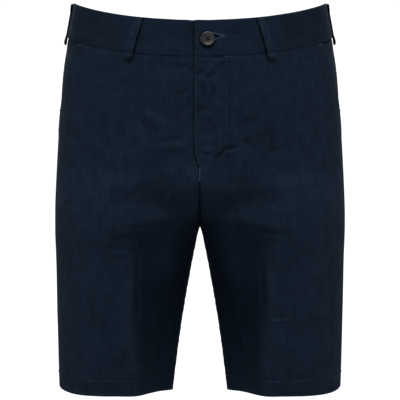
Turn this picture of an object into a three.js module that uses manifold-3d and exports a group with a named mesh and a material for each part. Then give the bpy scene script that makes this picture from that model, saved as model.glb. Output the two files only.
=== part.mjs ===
// Bermuda shorts of navy linen, filled out as if worn, with nobody in them.
// Millimetres. +X is the wearer's left, the front faces -Y and +Z is up.
// The origin is the middle of the waist, where the wearer holds the shorts up.

import * as THREE from 'three';
import { mergeVertices } from 'three/addons/utils/BufferGeometryUtils.js';
import Module from 'manifold-3d';

const wasm = await Module();
wasm.setup();

// Heights, measured at the side seams.
const WAIST_TOP = 40.5;
const BAND_HEIGHT = 45;
const WAIST_SEAM = WAIST_TOP - BAND_HEIGHT;
const FORK = -246;
const HEM = -461;
const HEM_DEPTH = 19;

// The waist's top edge dips from the side seams to the centre front and the centre back.
const FRONT_DIP = 33.5;
const BACK_DIP = 13;
const DIP_POWER = 1.5;
const DIP_FADES_AT = -125;

// The hem's side is a little higher than its front and back.
const HEM_LIFT = 6;
const HEM_LIFT_POWER = 6;
const HEM_LIFT_STARTS = -380;

// Cloth and seams.
const CLOTH = 1.5;
const BAND_CLOTH = 3;
const BAND_PROUD = 0.8;
const SEAM_GAP = 0.3;
const HALF_GAP = SEAM_GAP / 2;

// Sections of the whole garment, a row for each height. Depths are measured from the side seam's plane.
const SECTIONS = [
  { height: 41, halfWidth: 163, frontDepth: 100, backDepth: 104 },
  { height: 0, halfWidth: 170.5, frontDepth: 105, backDepth: 111 },
  { height: -45, halfWidth: 177.5, frontDepth: 110, backDepth: 122 },
  { height: -100, halfWidth: 182, frontDepth: 115, backDepth: 133 },
  { height: -160, halfWidth: 185.5, frontDepth: 118, backDepth: 140 },
  { height: -205, halfWidth: 187.5, frontDepth: 117, backDepth: 139 },
  { height: -246, halfWidth: 188, frontDepth: 112, backDepth: 131 },
  { height: -300, halfWidth: 186.5, frontDepth: 103, backDepth: 117 },
  { height: -350, halfWidth: 185.5, frontDepth: 95, backDepth: 105 },
  { height: -410, halfWidth: 184, frontDepth: 86, backDepth: 93 },
  { height: -461, halfWidth: 182.5, frontDepth: 78, backDepth: 83 },
];

// The rise: how far above the fork each half of the trunk starts to turn into a leg.
const FRONT_RISE = 74;
const BACK_RISE = 120;

// Half of the gap between the legs at the hem, and how much faster it opens just below the fork.
const LEG_GAP_AT_HEM = 35;
const LEG_GAP_BOW = 0.35;

// The side seam lies a little behind the widest line, as an angle round the leg.
const SIDE_SEAM_ANGLE = -0.09;

// The slanted pocket mouth, from the waist seam to its tip near the side seam.
const MOUTH_TOP_ANGLE = 0.47;
const MOUTH_TIP_ANGLE = -0.02;
const MOUTH_TIP = -130;
const MOUTH_CORNER = 3;
const FACING_UNDER_FRONT = 0.11;
const FACING_INSET = 2.1;

// The fly: the left front laps over the right front.
const FLY_EDGE = -6.8;
const FLY_EDGE_LOW = -3;
const FLY_STRAIGHT_TO = -150;
const FLY_END = -172;
const FLY_CORNER = 4;
const FLY_FADES_AT = -192;
const UNDERLAP = 12;
const LAP_STEP = 1;
const LAP_RAMP = 8;
const LAP_FADES_AT = 80;
const LAYER_GAP = 0.5;
const SHIELD_FROM = -12;
const SHIELD_TO = 32;
const ZIP_TO = 25;
const ZIP_BOTTOM = -162;
const ZIP_CLOTH = 1.2;

// The waistband's lap, which holds the button.
const BAND_UNDERLAP = 32;
const BAND_LIFT = 1.2;
const BAND_INSET = 2.3;
const BAND_LIFT_FADES_AT = 75;

// Belt loops.
const LOOP_WIDTH = 10;
const LOOP_LENGTH = 53;
const LOOP_CLOTH = 1.4;
const LOOP_END = 6;
const LOOP_RISE = 8;
const LOOP_BELOW_TOP = 1;
const CENTRE_BACK = -Math.PI / 2;
const LOOPS = [
  { name: 'belt_loop_front_left', half: 1, topAngle: 1.115, bottomAngle: 1.045, standsOff: 2.6 },
  { name: 'belt_loop_front_right', half: -1, topAngle: 1.115, bottomAngle: 1.045, standsOff: 2.6 },
  { name: 'belt_loop_side_left', half: 1, topAngle: 0, bottomAngle: 0, standsOff: 1.5 },
  { name: 'belt_loop_side_right', half: -1, topAngle: 0, bottomAngle: 0, standsOff: 1.5 },
  { name: 'belt_loop_back', half: 1, topAngle: CENTRE_BACK, bottomAngle: CENTRE_BACK, standsOff: 2.2 },
];

// The waist button.
const BUTTON_ACROSS = 9.3;
const BUTTON_BELOW_TOP = 23;
const BUTTON_RADIUS = 9.2;
const BUTTON_THICKNESS = 3.4;
const BUTTON_DISH_RADIUS = 6.2;
const BUTTON_DISH = 1.2;
const BUTTON_HOLE_RADIUS = 0.9;
const BUTTON_HOLE_SPACING = 3.2;

// The largest folds. Across and height give the middle, both measured from the origin, and turn is the
// angle of the fold's length from level. A fold on both legs is mirrored. Depth is positive for a ridge.
const FOLDS = [
  { face: 'front', across: 100, height: -196, turn: 8, halfLength: 44, width: 10, depth: 2.5, both: true },
  { face: 'front', across: 66, height: -210, turn: 2, halfLength: 62, width: 9, depth: -6.5, both: true },
  { face: 'front', across: 68, height: -246, turn: -8, halfLength: 62, width: 10, depth: 4.5, both: true },
  { face: 'front', across: 38, height: -234, turn: -4, halfLength: 34, width: 11, depth: 8, both: true },
  { face: 'front', across: 21, height: -230, turn: -4, halfLength: 20, width: 12, depth: 9, both: true },
  { face: 'front', across: 68, height: -292, turn: -8, halfLength: 62, width: 32, depth: -8, both: true },
  { face: 'front', across: 87, height: -355, turn: 88, halfLength: 155, width: 13, depth: 5.5, both: true },
  { face: 'front', across: 35, height: -362, turn: 87, halfLength: 160, width: 32, depth: -18, both: true },
  { face: 'front', across: -46, height: -126, turn: -42, halfLength: 45, width: 12, depth: 2, both: false },
  { face: 'front', across: 83, height: -142, turn: -20, halfLength: 38, width: 14, depth: -3, both: false },
  { face: 'front', across: -95, height: -165, turn: 35, halfLength: 50, width: 15, depth: 2, both: false },
  { face: 'back', across: 78, height: -262, turn: -8, halfLength: 70, width: 15, depth: -3.5, both: true },
  { face: 'back', across: 84, height: -228, turn: -5, halfLength: 72, width: 17, depth: 2, both: true },
  { face: 'back', across: 60, height: -300, turn: 28, halfLength: 58, width: 14, depth: 3.5, both: true },
  { face: 'back', across: 98, height: -360, turn: 86, halfLength: 95, width: 16, depth: 5, both: true },
  { face: 'back', across: 66, height: -375, turn: 94, halfLength: 80, width: 15, depth: -4, both: true },
  { face: 'back', across: 52, height: -88, turn: 62, halfLength: 55, width: 15, depth: -2.5, both: true },
];
const FOLD_TAPER = 0.45;

// Grid steps of the cloth pieces. The columns nearest a centre seam or an inseam have set distances from it.
const PANEL_COLUMNS = 10;
const SEAM_COLUMNS = [16, 7.5];
const BAND_COLUMNS = 23;
const BAND_ROWS = 3;
const NORMAL_STEP = 1e-3;

const NAVY_LINEN = new THREE.MeshStandardMaterial({ color: 0x151e2b, roughness: 0.9, metalness: 0 });
const NAVY_TAPE = new THREE.MeshStandardMaterial({ color: 0x10161f, roughness: 0.8, metalness: 0 });
const DARK_HORN = new THREE.MeshStandardMaterial({ color: 0x35363b, roughness: 0.35, metalness: 0 });

function smooth(value) {
  const t = THREE.MathUtils.clamp(value, 0, 1);
  return t * t * (3 - 2 * t);
}

// One column of SECTIONS at any height, as a smooth curve through the rows.
function section(column, height) {
  const last = SECTIONS.length - 1;
  const slope = (i) => {
    const above = SECTIONS[Math.max(i - 1, 0)];
    const below = SECTIONS[Math.min(i + 1, last)];
    return (above[column] - below[column]) / (above.height - below.height);
  };
  let i = 0;
  while (i < last - 1 && height < SECTIONS[i + 1].height) i += 1;
  const start = SECTIONS[i];
  const end = SECTIONS[i + 1];
  const span = end.height - start.height;
  const t = (height - start.height) / span;
  if (t < 0 || t > 1) {
    const edge = t < 0 ? start : end;
    return edge[column] + slope(t < 0 ? i : i + 1) * (height - edge.height);
  }
  const t2 = t * t;
  const t3 = t2 * t;
  return (2 * t3 - 3 * t2 + 1) * start[column] + (t3 - 2 * t2 + t) * span * slope(i)
    + (3 * t2 - 2 * t3) * end[column] + (t3 - t2) * span * slope(i + 1);
}

// How far one half has turned into a leg: 0 in the trunk, 1 from the fork down.
function legSplit(front, height) {
  const rise = front ? FRONT_RISE : BACK_RISE;
  return 1 - smooth((height - FORK) / rise);
}

function legGap(height) {
  const down = THREE.MathUtils.clamp((FORK - height) / (FORK - HEM), 0, 1);
  return HALF_GAP + LEG_GAP_AT_HEM * down * (1 + LEG_GAP_BOW * (1 - down));
}

// The ellipse that one half follows at a height: its centre and its radius across.
function halfRing(front, height) {
  const halfWidth = section('halfWidth', height);
  const radius = height >= FORK
    ? (halfWidth - HALF_GAP * legSplit(front, height)) / (1 + legSplit(front, height))
    : (halfWidth - legGap(height)) / 2;
  const depth = section(front ? 'frontDepth' : 'backDepth', height);
  return { centre: halfWidth - radius, radius, depth };
}

// A point of the left half. The angle is 0 at the widest line, positive round the front to the centre
// or the inseam, and negative round the back.
function formPoint(angle, height) {
  const ring = halfRing(angle > 0, height);
  const x = ring.centre + ring.radius * Math.cos(angle);
  return new THREE.Vector3(x, -ring.depth * Math.sin(angle), height);
}

function formNormal(angle, height) {
  const round = formPoint(angle + NORMAL_STEP, height).sub(formPoint(angle - NORMAL_STEP, height));
  const up = formPoint(angle, height + NORMAL_STEP).sub(formPoint(angle, height - NORMAL_STEP));
  return up.cross(round).normalize();
}

// The folds' height above the plain form at a point of either half.
function relief(angle, x, height) {
  const face = angle > 0 ? 'front' : 'back';
  const taper = smooth(Math.abs(Math.sin(angle)) / FOLD_TAPER);
  let sum = 0;
  for (const fold of FOLDS.filter((each) => each.face === face)) {
    for (const side of fold.both ? [1, -1] : [1]) {
      const turn = THREE.MathUtils.degToRad(fold.turn);
      const dx = side * x - fold.across;
      const dz = height - fold.height;
      const along = (dx * Math.cos(turn) + dz * Math.sin(turn)) / fold.halfLength;
      const across = (dz * Math.cos(turn) - dx * Math.sin(turn)) / fold.width;
      const window = Math.max(1 - along * along, 0) ** 2;
      sum += fold.depth * window * Math.exp(-across * across);
    }
  }
  return sum * taper;
}

// The real height of a point on a level row, after the waist's dip and the hem's lift.
function rowHeight(level, angle) {
  const dip = angle > 0 ? FRONT_DIP : BACK_DIP;
  const dipShare = smooth((level - DIP_FADES_AT) / (WAIST_SEAM - DIP_FADES_AT));
  const liftShare = smooth((HEM_LIFT_STARTS - level) / (HEM_LIFT_STARTS - HEM));
  const sideShare = Math.max(Math.cos(angle), 0) ** HEM_LIFT_POWER;
  const dipped = dip * dipShare * Math.abs(Math.sin(angle)) ** DIP_POWER;
  return level - dipped + HEM_LIFT * liftShare * sideShare;
}

// A point of the cloth's surface, moved out along the form's normal. Half is 1 for the left and -1 for
// the right.
function clothPoint(half, angle, level, offset) {
  const height = rowHeight(level, angle);
  const point = formPoint(angle, height);
  const normal = formNormal(angle, height);
  const out = offset + relief(angle, half * point.x, height);
  point.addScaledVector(normal, out);
  point.x *= half;
  return point;
}

// The angle at which a half's surface lies at x, never closer to the inseam than half a seam's gap.
function angleAt(x, level, front) {
  const sign = front ? 1 : -1;
  let angle = sign * Math.PI / 2;
  for (let pass = 0; pass < 3; pass += 1) {
    const ring = halfRing(front, rowHeight(level, angle));
    const cosine = THREE.MathUtils.clamp((x - ring.centre) / ring.radius, -1, 1);
    angle = sign * Math.min(Math.acos(cosine), Math.PI - HALF_GAP / ring.depth);
  }
  return angle;
}

// A closed wall between an outer and an inner grid of points, each a function of row and column.
function wall(rows, columns, outer, inner) {
  const positions = [];
  for (const face of [outer, inner]) {
    for (let i = 0; i <= rows; i += 1) {
      for (let j = 0; j <= columns; j += 1) positions.push(...face(i, j).toArray());
    }
  }
  const stride = columns + 1;
  const back = (rows + 1) * stride;
  const index = [];
  const quad = (a, b, c, d) => index.push(a, b, c, a, c, d);
  for (let i = 0; i < rows; i += 1) {
    for (let j = 0; j < columns; j += 1) {
      const a = i * stride + j;
      quad(a, a + 1, a + 1 + stride, a + stride);
      quad(back + a, back + a + stride, back + a + 1 + stride, back + a + 1);
    }
  }
  for (let i = 0; i < rows; i += 1) {
    const a = i * stride;
    const b = a + columns;
    quad(a, a + stride, back + a + stride, back + a);
    quad(b, back + b, back + b + stride, b + stride);
  }
  for (let j = 0; j < columns; j += 1) {
    const b = rows * stride + j;
    quad(j, back + j, back + j + 1, j + 1);
    quad(b, b + 1, back + b + 1, back + b);
  }
  return turnedOut(positions, index);
}

// A geometry with its faces pointing out, whichever way its grid ran.
function turnedOut(positions, index) {
  const corner = (k) => new THREE.Vector3().fromArray(positions, 3 * index[k]);
  let volume = 0;
  for (let k = 0; k < index.length; k += 3) volume += corner(k).dot(corner(k + 1).cross(corner(k + 2)));
  if (volume < 0) index.reverse();
  const geometry = new THREE.BufferGeometry();
  geometry.setAttribute('position', new THREE.Float32BufferAttribute(positions, 3));
  geometry.setIndex(index);
  geometry.computeVertexNormals();
  return geometry;
}

// Levels from one height down to another, the last one left out. They crowd towards the start where
// startEase is above 1, and towards the end where endEase is.
function levels(from, to, count, startEase = 1, endEase = 1) {
  return Array.from({ length: count }, (_, k) => {
    const t = k / count;
    return THREE.MathUtils.lerp(from, to, startEase > 1 ? t ** startEase : 1 - (1 - t) ** endEase);
  });
}

// Evenly spaced values, both ends included.
function spread(from, to, steps) {
  return Array.from({ length: steps + 1 }, (_, k) => THREE.MathUtils.lerp(from, to, k / steps));
}

// A cloth piece from its levels, its column angles at a level, and the offsets of its two faces.
function clothPiece(name, half, rowLevels, angles, outer, inner, material = NAVY_LINEN) {
  const grid = rowLevels.map((level) => angles(level));
  const face = (offset) => (i, j) => {
    const angle = grid[i][j];
    const level = rowLevels[i];
    const x = half * formPoint(angle, rowHeight(level, angle)).x;
    return clothPoint(half, angle, level, offset(x, level, angle));
  };
  const geometry = wall(rowLevels.length - 1, grid[0].length - 1, face(outer), face(inner));
  const mesh = new THREE.Mesh(geometry, material);
  mesh.name = name;
  return mesh;
}

// The left front is raised over the lap, and the right front is lowered under it.
function lapOffset(half, x, level) {
  const cornerLevel = FLY_END - FLY_CORNER;
  const share = smooth((level - FLY_FADES_AT) / (cornerLevel - FLY_FADES_AT));
  const raised = 1 - smooth((x - SHIELD_TO) / (LAP_FADES_AT - SHIELD_TO));
  const lowered = -smooth((x - FLY_EDGE + LAP_RAMP + 1) / LAP_RAMP);
  return share * LAP_STEP * (half > 0 ? raised : lowered);
}

// Where a front's centre edge lies, in its own half's x.
function frontEdge(half, level) {
  if (level < FLY_END) return legGap(level);
  if (half < 0) return -UNDERLAP;
  const up = smooth((level - FLY_END) / (FLY_STRAIGHT_TO - FLY_END));
  return THREE.MathUtils.lerp(FLY_EDGE_LOW, FLY_EDGE, up);
}

function mouthAngle(level) {
  return THREE.MathUtils.mapLinear(level, MOUTH_TIP, WAIST_SEAM, MOUTH_TIP_ANGLE, MOUTH_TOP_ANGLE);
}

// The angle of the side seam's edge on the front's or the back's side of its gap.
function sideEdge(front, level) {
  return SIDE_SEAM_ANGLE + (front ? 1 : -1) * HALF_GAP / section('backDepth', level);
}

// Column angles of a front or back: even steps to a set distance from the seam, then the set columns.
function panelAngles(front, start, edgeX, level) {
  const seamX = legGap(level);
  const stops = SEAM_COLUMNS.map((distance) => seamX + distance);
  const lastStop = stops[stops.length - 1];
  const rest = [...stops, (lastStop + edgeX) / 2, edgeX].map((x) => angleAt(x, level, front));
  return [...spread(start, rest[0], PANEL_COLUMNS), ...rest.slice(1)];
}

const PANEL_TOP = WAIST_SEAM - HALF_GAP;
const HEM_FOLD = HEM + HEM_DEPTH;
const MOUTH_LEVELS = levels(PANEL_TOP, MOUTH_TIP, 7);
const FLY_CORNER_LEVEL = FLY_END - FLY_CORNER;
const PANEL_LEVELS = [
  ...MOUTH_LEVELS, MOUTH_TIP, MOUTH_TIP - MOUTH_CORNER,
  ...levels(FLY_STRAIGHT_TO, FLY_END, 2), FLY_END,
  ...levels(FLY_CORNER_LEVEL, FORK, 9, 1, 1.7),
  ...levels(FORK, HEM_FOLD, 14, 1.35),
  HEM_FOLD, HEM_FOLD - 1, HEM,
];

// The hem is the panel's own cloth turned up inside, so the wall is doubled there.
function panelInner(level) {
  return level < HEM_FOLD - 0.5 ? 2 * CLOTH : CLOTH;
}

function front(half) {
  const start = (level) => (level > MOUTH_TIP - 1 ? mouthAngle(level) : sideEdge(true, level));
  const angles = (level) => panelAngles(true, start(level), frontEdge(half, level), level);
  const outer = (x, level) => lapOffset(half, x, level);
  const inner = (x, level) => lapOffset(half, x, level) - panelInner(level);
  return clothPiece(half > 0 ? 'front_left' : 'front_right', half, PANEL_LEVELS, angles, outer, inner);
}

function back(half) {
  const angles = (level) => panelAngles(false, sideEdge(false, level), legGap(level), level);
  const inner = (x, level) => -panelInner(level);
  return clothPiece(half > 0 ? 'back_left' : 'back_right', half, PANEL_LEVELS, angles, () => 0, inner);
}

// The facing meets the back at the side seam, sinks towards the mouth and passes under the front there.
function pocketFacing(half) {
  const angles = (level) => {
    const mouth = mouthAngle(level);
    return [...spread(sideEdge(true, level), mouth, 4), mouth + FACING_UNDER_FRONT];
  };
  const outer = (x, level, angle) => {
    const start = sideEdge(true, level);
    return -FACING_INSET * smooth((angle - start) / (mouthAngle(level) - start));
  };
  const inner = (x, level, angle) => outer(x, level, angle) - CLOTH;
  const rows = [...MOUTH_LEVELS, MOUTH_TIP + LAYER_GAP];
  const name = half > 0 ? 'pocket_facing_left' : 'pocket_facing_right';
  return clothPiece(name, half, rows, angles, outer, inner);
}

// A strip behind the lap from the waist seam down, between two x, with its outer face at a set depth.
function flyStrip(name, fromX, toX, bottom, depth, thickness, material) {
  const angles = (level) => spread(angleAt(fromX, level, true), angleAt(toX, level, true), 3);
  const rows = [...levels(PANEL_TOP, bottom, 10), bottom];
  return clothPiece(name, 1, rows, angles, () => -depth, () => -depth - thickness, material);
}

function waistband(half) {
  const edgeX = half > 0 ? [FLY_EDGE] : [...SEAM_COLUMNS, ...spread(0, -BAND_UNDERLAP, 3)];
  const angles = (level) => {
    const stops = edgeX.map((x) => angleAt(x, level, true));
    return [...spread(angleAt(HALF_GAP, level, false), stops[0], BAND_COLUMNS), ...stops.slice(1)];
  };
  const lap = (x) => (half > 0
    ? BAND_LIFT * (1 - smooth((x - BAND_UNDERLAP) / (BAND_LIFT_FADES_AT - BAND_UNDERLAP)))
    : -BAND_INSET * smooth((x - FLY_EDGE + LAP_RAMP + 1) / LAP_RAMP));
  const outer = (x, level, angle) => BAND_PROUD + (angle > 0 ? lap(x) : 0);
  const inner = (x, level, angle) => outer(x, level, angle) - BAND_CLOTH;
  const rows = spread(WAIST_TOP, WAIST_SEAM + HALF_GAP, BAND_ROWS);
  return clothPiece(half > 0 ? 'waistband_left' : 'waistband_right', half, rows, angles, outer, inner);
}

// A strip that stands off the band between its two ends, which are folded under and sewn down.
function beltLoop({ name, half, topAngle, bottomAngle, standsOff }) {
  const last = LOOP_LENGTH;
  const stations = [
    0, LOOP_END, LOOP_END + LOOP_RISE / 2, LOOP_END + LOOP_RISE, last * 0.42, last * 0.58,
    last - LOOP_END - LOOP_RISE, last - LOOP_END - LOOP_RISE / 2, last - LOOP_END, last,
  ];
  const columns = 3;
  const point = (i, j, outward) => {
    const down = stations[i];
    const level = WAIST_TOP - LOOP_BELOW_TOP - down;
    const middle = THREE.MathUtils.lerp(topAngle, bottomAngle, down / last);
    const height = rowHeight(level, middle);
    const rate = formPoint(middle + NORMAL_STEP, height).distanceTo(formPoint(middle, height)) / NORMAL_STEP;
    const across = LOOP_WIDTH * (j / columns - 0.5);
    const fromEnd = Math.min(down, last - down);
    const risen = smooth((fromEnd - LOOP_END) / LOOP_RISE);
    const under = BAND_PROUD + SEAM_GAP + standsOff * risen;
    const thickness = LOOP_CLOTH * (2 - risen);
    return clothPoint(half, middle + across / rate, level, under + (outward ? thickness : 0));
  };
  const face = (outward) => (i, j) => point(i, j, outward);
  const geometry = wall(stations.length - 1, columns, face(true), face(false));
  const mesh = new THREE.Mesh(geometry, NAVY_LINEN);
  mesh.name = name;
  return mesh;
}

function toManifold(geometry) {
  const bare = geometry.clone();
  bare.deleteAttribute('normal');
  bare.deleteAttribute('uv');
  const merged = mergeVertices(bare, 1e-3);
  const vertProperties = new Float32Array(merged.attributes.position.array);
  const triVerts = new Uint32Array(merged.index.array);
  return new wasm.Manifold(new wasm.Mesh({ numProp: 3, vertProperties, triVerts }));
}

function fromManifold(solid) {
  const mesh = solid.getMesh();
  return turnedOut(Array.from(mesh.vertProperties), Array.from(mesh.triVerts));
}

// A turned disc with a rounded rim, a dished middle and four holes, facing -Y before it is placed.
function button() {
  const r = BUTTON_RADIUS;
  const top = BUTTON_THICKNESS;
  const dish = BUTTON_DISH_RADIUS;
  const profile = [
    [0, 0], [r - 2.2, 0], [r - 0.8, 0.7], [r, 1.7], [r - 0.4, 2.7], [r - 1.4, top],
    [dish + 0.6, top - 0.2], [dish, top - BUTTON_DISH], [0, top - BUTTON_DISH - 0.2],
  ].map(([x, y]) => new THREE.Vector2(x, y));
  let solid = toManifold(new THREE.LatheGeometry(profile, 28));
  const hole = new THREE.CylinderGeometry(BUTTON_HOLE_RADIUS, BUTTON_HOLE_RADIUS, 4 * top, 10);
  for (const sideX of [-0.5, 0.5]) {
    for (const sideZ of [-0.5, 0.5]) {
      const place = [sideX * BUTTON_HOLE_SPACING, 0, sideZ * BUTTON_HOLE_SPACING];
      solid = solid.subtract(toManifold(hole.clone().translate(...place)));
    }
  }
  const mesh = new THREE.Mesh(fromManifold(solid), DARK_HORN);
  mesh.name = 'button';
  const level = WAIST_TOP - BUTTON_BELOW_TOP;
  const angle = angleAt(BUTTON_ACROSS, level, true);
  mesh.position.copy(clothPoint(1, angle, level, BAND_PROUD + BAND_LIFT + LAYER_GAP));
  const outward = formNormal(angle, rowHeight(level, angle));
  mesh.quaternion.setFromUnitVectors(new THREE.Vector3(0, 1, 0), outward);
  return mesh;
}

const shorts = new THREE.Group();
for (const half of [1, -1]) {
  shorts.add(front(half), back(half), pocketFacing(half), waistband(half));
}
const zipDepth = LAP_STEP + SEAM_GAP;
const shieldDepth = zipDepth + CLOTH + SEAM_GAP;
shorts.add(flyStrip('zip', UNDERLAP + SEAM_GAP, ZIP_TO, ZIP_BOTTOM, zipDepth, ZIP_CLOTH, NAVY_TAPE));
shorts.add(flyStrip('fly_shield', SHIELD_FROM, SHIELD_TO, FLY_END, shieldDepth, CLOTH, NAVY_LINEN));
for (const loop of LOOPS) shorts.add(beltLoop(loop));
shorts.add(button());

export default shorts;
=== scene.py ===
"""Bermuda shorts of navy linen, filled out as if worn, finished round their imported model.

The form is worked out in millimetres, measured as on the garment: +X is the wearer's left, the front
faces -Y, +Z is up and the origin is the middle of the waist. Meshes are stored in metres.
"""

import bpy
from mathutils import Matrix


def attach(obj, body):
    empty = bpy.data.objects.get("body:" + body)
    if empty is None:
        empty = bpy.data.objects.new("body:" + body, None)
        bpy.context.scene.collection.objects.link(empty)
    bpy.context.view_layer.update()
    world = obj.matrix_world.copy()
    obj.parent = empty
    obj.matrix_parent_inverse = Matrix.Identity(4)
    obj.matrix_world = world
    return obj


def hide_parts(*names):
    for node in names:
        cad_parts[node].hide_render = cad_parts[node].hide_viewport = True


bl_info = {
    "name": "Bermuda Shorts",
    "version": (1, 0, 0),
    "blender": (4, 5, 0),
    "location": "3D View > Sidebar > Shorts",
    "description": "Builds a pair of navy linen bermuda shorts, piece by piece",
    "category": "Add Mesh",
}

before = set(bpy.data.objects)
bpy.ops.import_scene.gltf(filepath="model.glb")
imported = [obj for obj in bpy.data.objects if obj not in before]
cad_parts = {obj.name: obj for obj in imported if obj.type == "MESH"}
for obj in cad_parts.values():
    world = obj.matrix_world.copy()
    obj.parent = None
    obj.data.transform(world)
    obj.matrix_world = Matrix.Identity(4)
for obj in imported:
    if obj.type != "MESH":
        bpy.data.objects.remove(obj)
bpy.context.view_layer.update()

import bpy
import numpy as np
from mathutils import Vector

BODY = "root"
MM = 0.001

# Heights, measured at the side seams.
WAIST_TOP = 40.5
WAIST_SEAM = -4.5
FORK = -246
HEM = -461
HEM_DEPTH = 19
HEM_FOLD = HEM + HEM_DEPTH

# The waist's top edge dips to the centre front and back, and the hem's side is a little higher.
FRONT_DIP = 33.5
BACK_DIP = 13
DIP_POWER = 1.5
DIP_FADES_AT = -125
HEM_LIFT = 6
HEM_LIFT_POWER = 6
HEM_LIFT_STARTS = -380

# Panels meet on their seam's line, and their top edge is sewn up inside the waistband.
TOP_ALLOWANCE = 3
PANEL_TOP = WAIST_SEAM + TOP_ALLOWANCE
SEAM_GAP = 0.3

# Sections of the whole garment: height, half width, front depth, back depth.
SECTIONS = np.array([
    (41, 163, 100, 104),
    (0, 170.5, 105, 111),
    (-45, 177.5, 110, 122),
    (-100, 182, 115, 133),
    (-160, 185.5, 118, 140),
    (-205, 187.5, 117, 139),
    (-246, 188, 112, 131),
    (-300, 186.5, 103, 117),
    (-350, 185.5, 95, 105),
    (-410, 184, 86, 93),
    (-461, 182.5, 78, 83),
], dtype=float)
HALF_WIDTH, FRONT_DEPTH, BACK_DEPTH = 1, 2, 3

# Where the trunk turns into legs, and the gap between the legs.
FRONT_RISE = 74
BACK_RISE = 120
LEG_GAP_AT_HEM = 35
LEG_GAP_BOW = 0.35
SIDE_SEAM_ANGLE = -0.09

# The slanted pocket mouth and the facing behind it.
MOUTH_TOP_ANGLE = 0.47
MOUTH_TIP_ANGLE = -0.02
MOUTH_TIP = -130
MOUTH_CORNER = 3
FACING_UNDER_FRONT = 0.11
FACING_INSET = 2.1

# The fly: the left front laps over the right one, with a zip and a shield behind it.
FLY_EDGE = -6.8
FLY_EDGE_LOW = -3
FLY_STRAIGHT_TO = -150
FLY_END = -172
FLY_CORNER = 4
FLY_FADES_AT = -192
UNDERLAP = 12
LAP_STEP = 1
LAP_RAMP = 8
LAP_DOWN_BEFORE = 1
LAP_FADES_AT = 80
SHIELD_FROM = -12
SHIELD_TO = 32
ZIP_FROM = 12.3
ZIP_TO = 25
ZIP_BOTTOM = -162
ZIP_DEPTH = 1.3
SHIELD_DEPTH = 3.1

# The waistband and its lap.
BAND_PROUD = 0.8
BAND_UNDERLAP = 32
BAND_LIFT = 0.8
BAND_INSET = 2.3
BAND_LIFT_FADES_AT = 75

# Where the threads run straight down, as the distance from the middle of the garment.
PANEL_GRAIN = 94
FACING_GRAIN = 160
FLY_GRAIN = 20

# Thickness of each kind of piece. Cloth is thin, and doubled in the hem, the band and the loops.
PANEL_CLOTH = 1.1
HEM_CLOTH = 2.0
BAND_CLOTH = 2.4
STRIP_CLOTH = 1.1

# Belt loops. Squareness is the powers of a ring's cosine and sine. Each loop has its half, its angle at
# the top and at the bottom, and how far its middle stands off the band.
LOOP_WIDTH = 11.4
LOOP_LENGTH = 53
LOOP_CLOTH = 1.4
LOOP_END = 6
LOOP_RISE = 8
LOOP_BELOW_TOP = 1
LOOP_ROUNDING = 0.9
LOOP_STATIONS = 70
LOOP_RING_POINTS = 40
LOOP_SQUARENESS = (0.45, 0.6)
LOOP_STITCH_ACROSS = 3.4
LOOP_SEAM_DEPTH = 0.22
LOOP_SEAM_WIDTH = 0.5
LOOP_TACK_ACROSS = 4.2
LOOPS = {
    "belt_loop_front_left": (1, 1.115, 1.045, 2.6),
    "belt_loop_front_right": (-1, 1.115, 1.045, 2.6),
    "belt_loop_side_left": (1, 0, 0, 0.5),
    "belt_loop_side_right": (-1, 0, 0, 0.5),
    "belt_loop_back": (1, -np.pi / 2, -np.pi / 2, 2.2),
}

# The waist button, its shade on the band and the hole that it has pulled open.
BUTTON_ACROSS = 9.3
BUTTON_LEVEL = WAIST_TOP - 24.2
BUTTON_OFF = 2.2
BUTTON_SHADE_RADIUS = 9.8
BUTTON_SHADE_WIDTH = 1.5
BUTTON_SHADE = 0.75
BUTTON_HOLE_RADIUS = 0.9
BUTTON_HOLE_SPACING = 3.2
BUTTON_PIT_DEPTH = 1.7
BUTTON_PIT_WALL = 0.22
SLOT_FROM = 10
SLOT_TO = 28.5
SLOT_LEVEL = 19.4
SLOT_OPEN = 3.1
SLOT_END = 2
SLOT_WALL = 0.9
SLOT_DEPTH = 1.9
SLOT_STITCH = 2.0

# The zip's coil: its middle, half its length across, and the distance, radius and flatness of a turn.
COIL_MIDDLE = 18.6
COIL_HALF_LENGTH = 2.4
COIL_PITCH = 1.5
COIL_RADIUS = 0.5
COIL_FLATNESS = 0.62

# Lines of stitching.
HEM_LINE_ABOVE = 0.8
POCKET_LINE_INSET = 8.25
POCKET_TACK_LOW = -99.0
FLY_LINE = 32.0
FLY_CURVE_MIDDLE = 1
FLY_CURVE_TOP = -140
FLY_CURVE_DEPTH = 46

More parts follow.
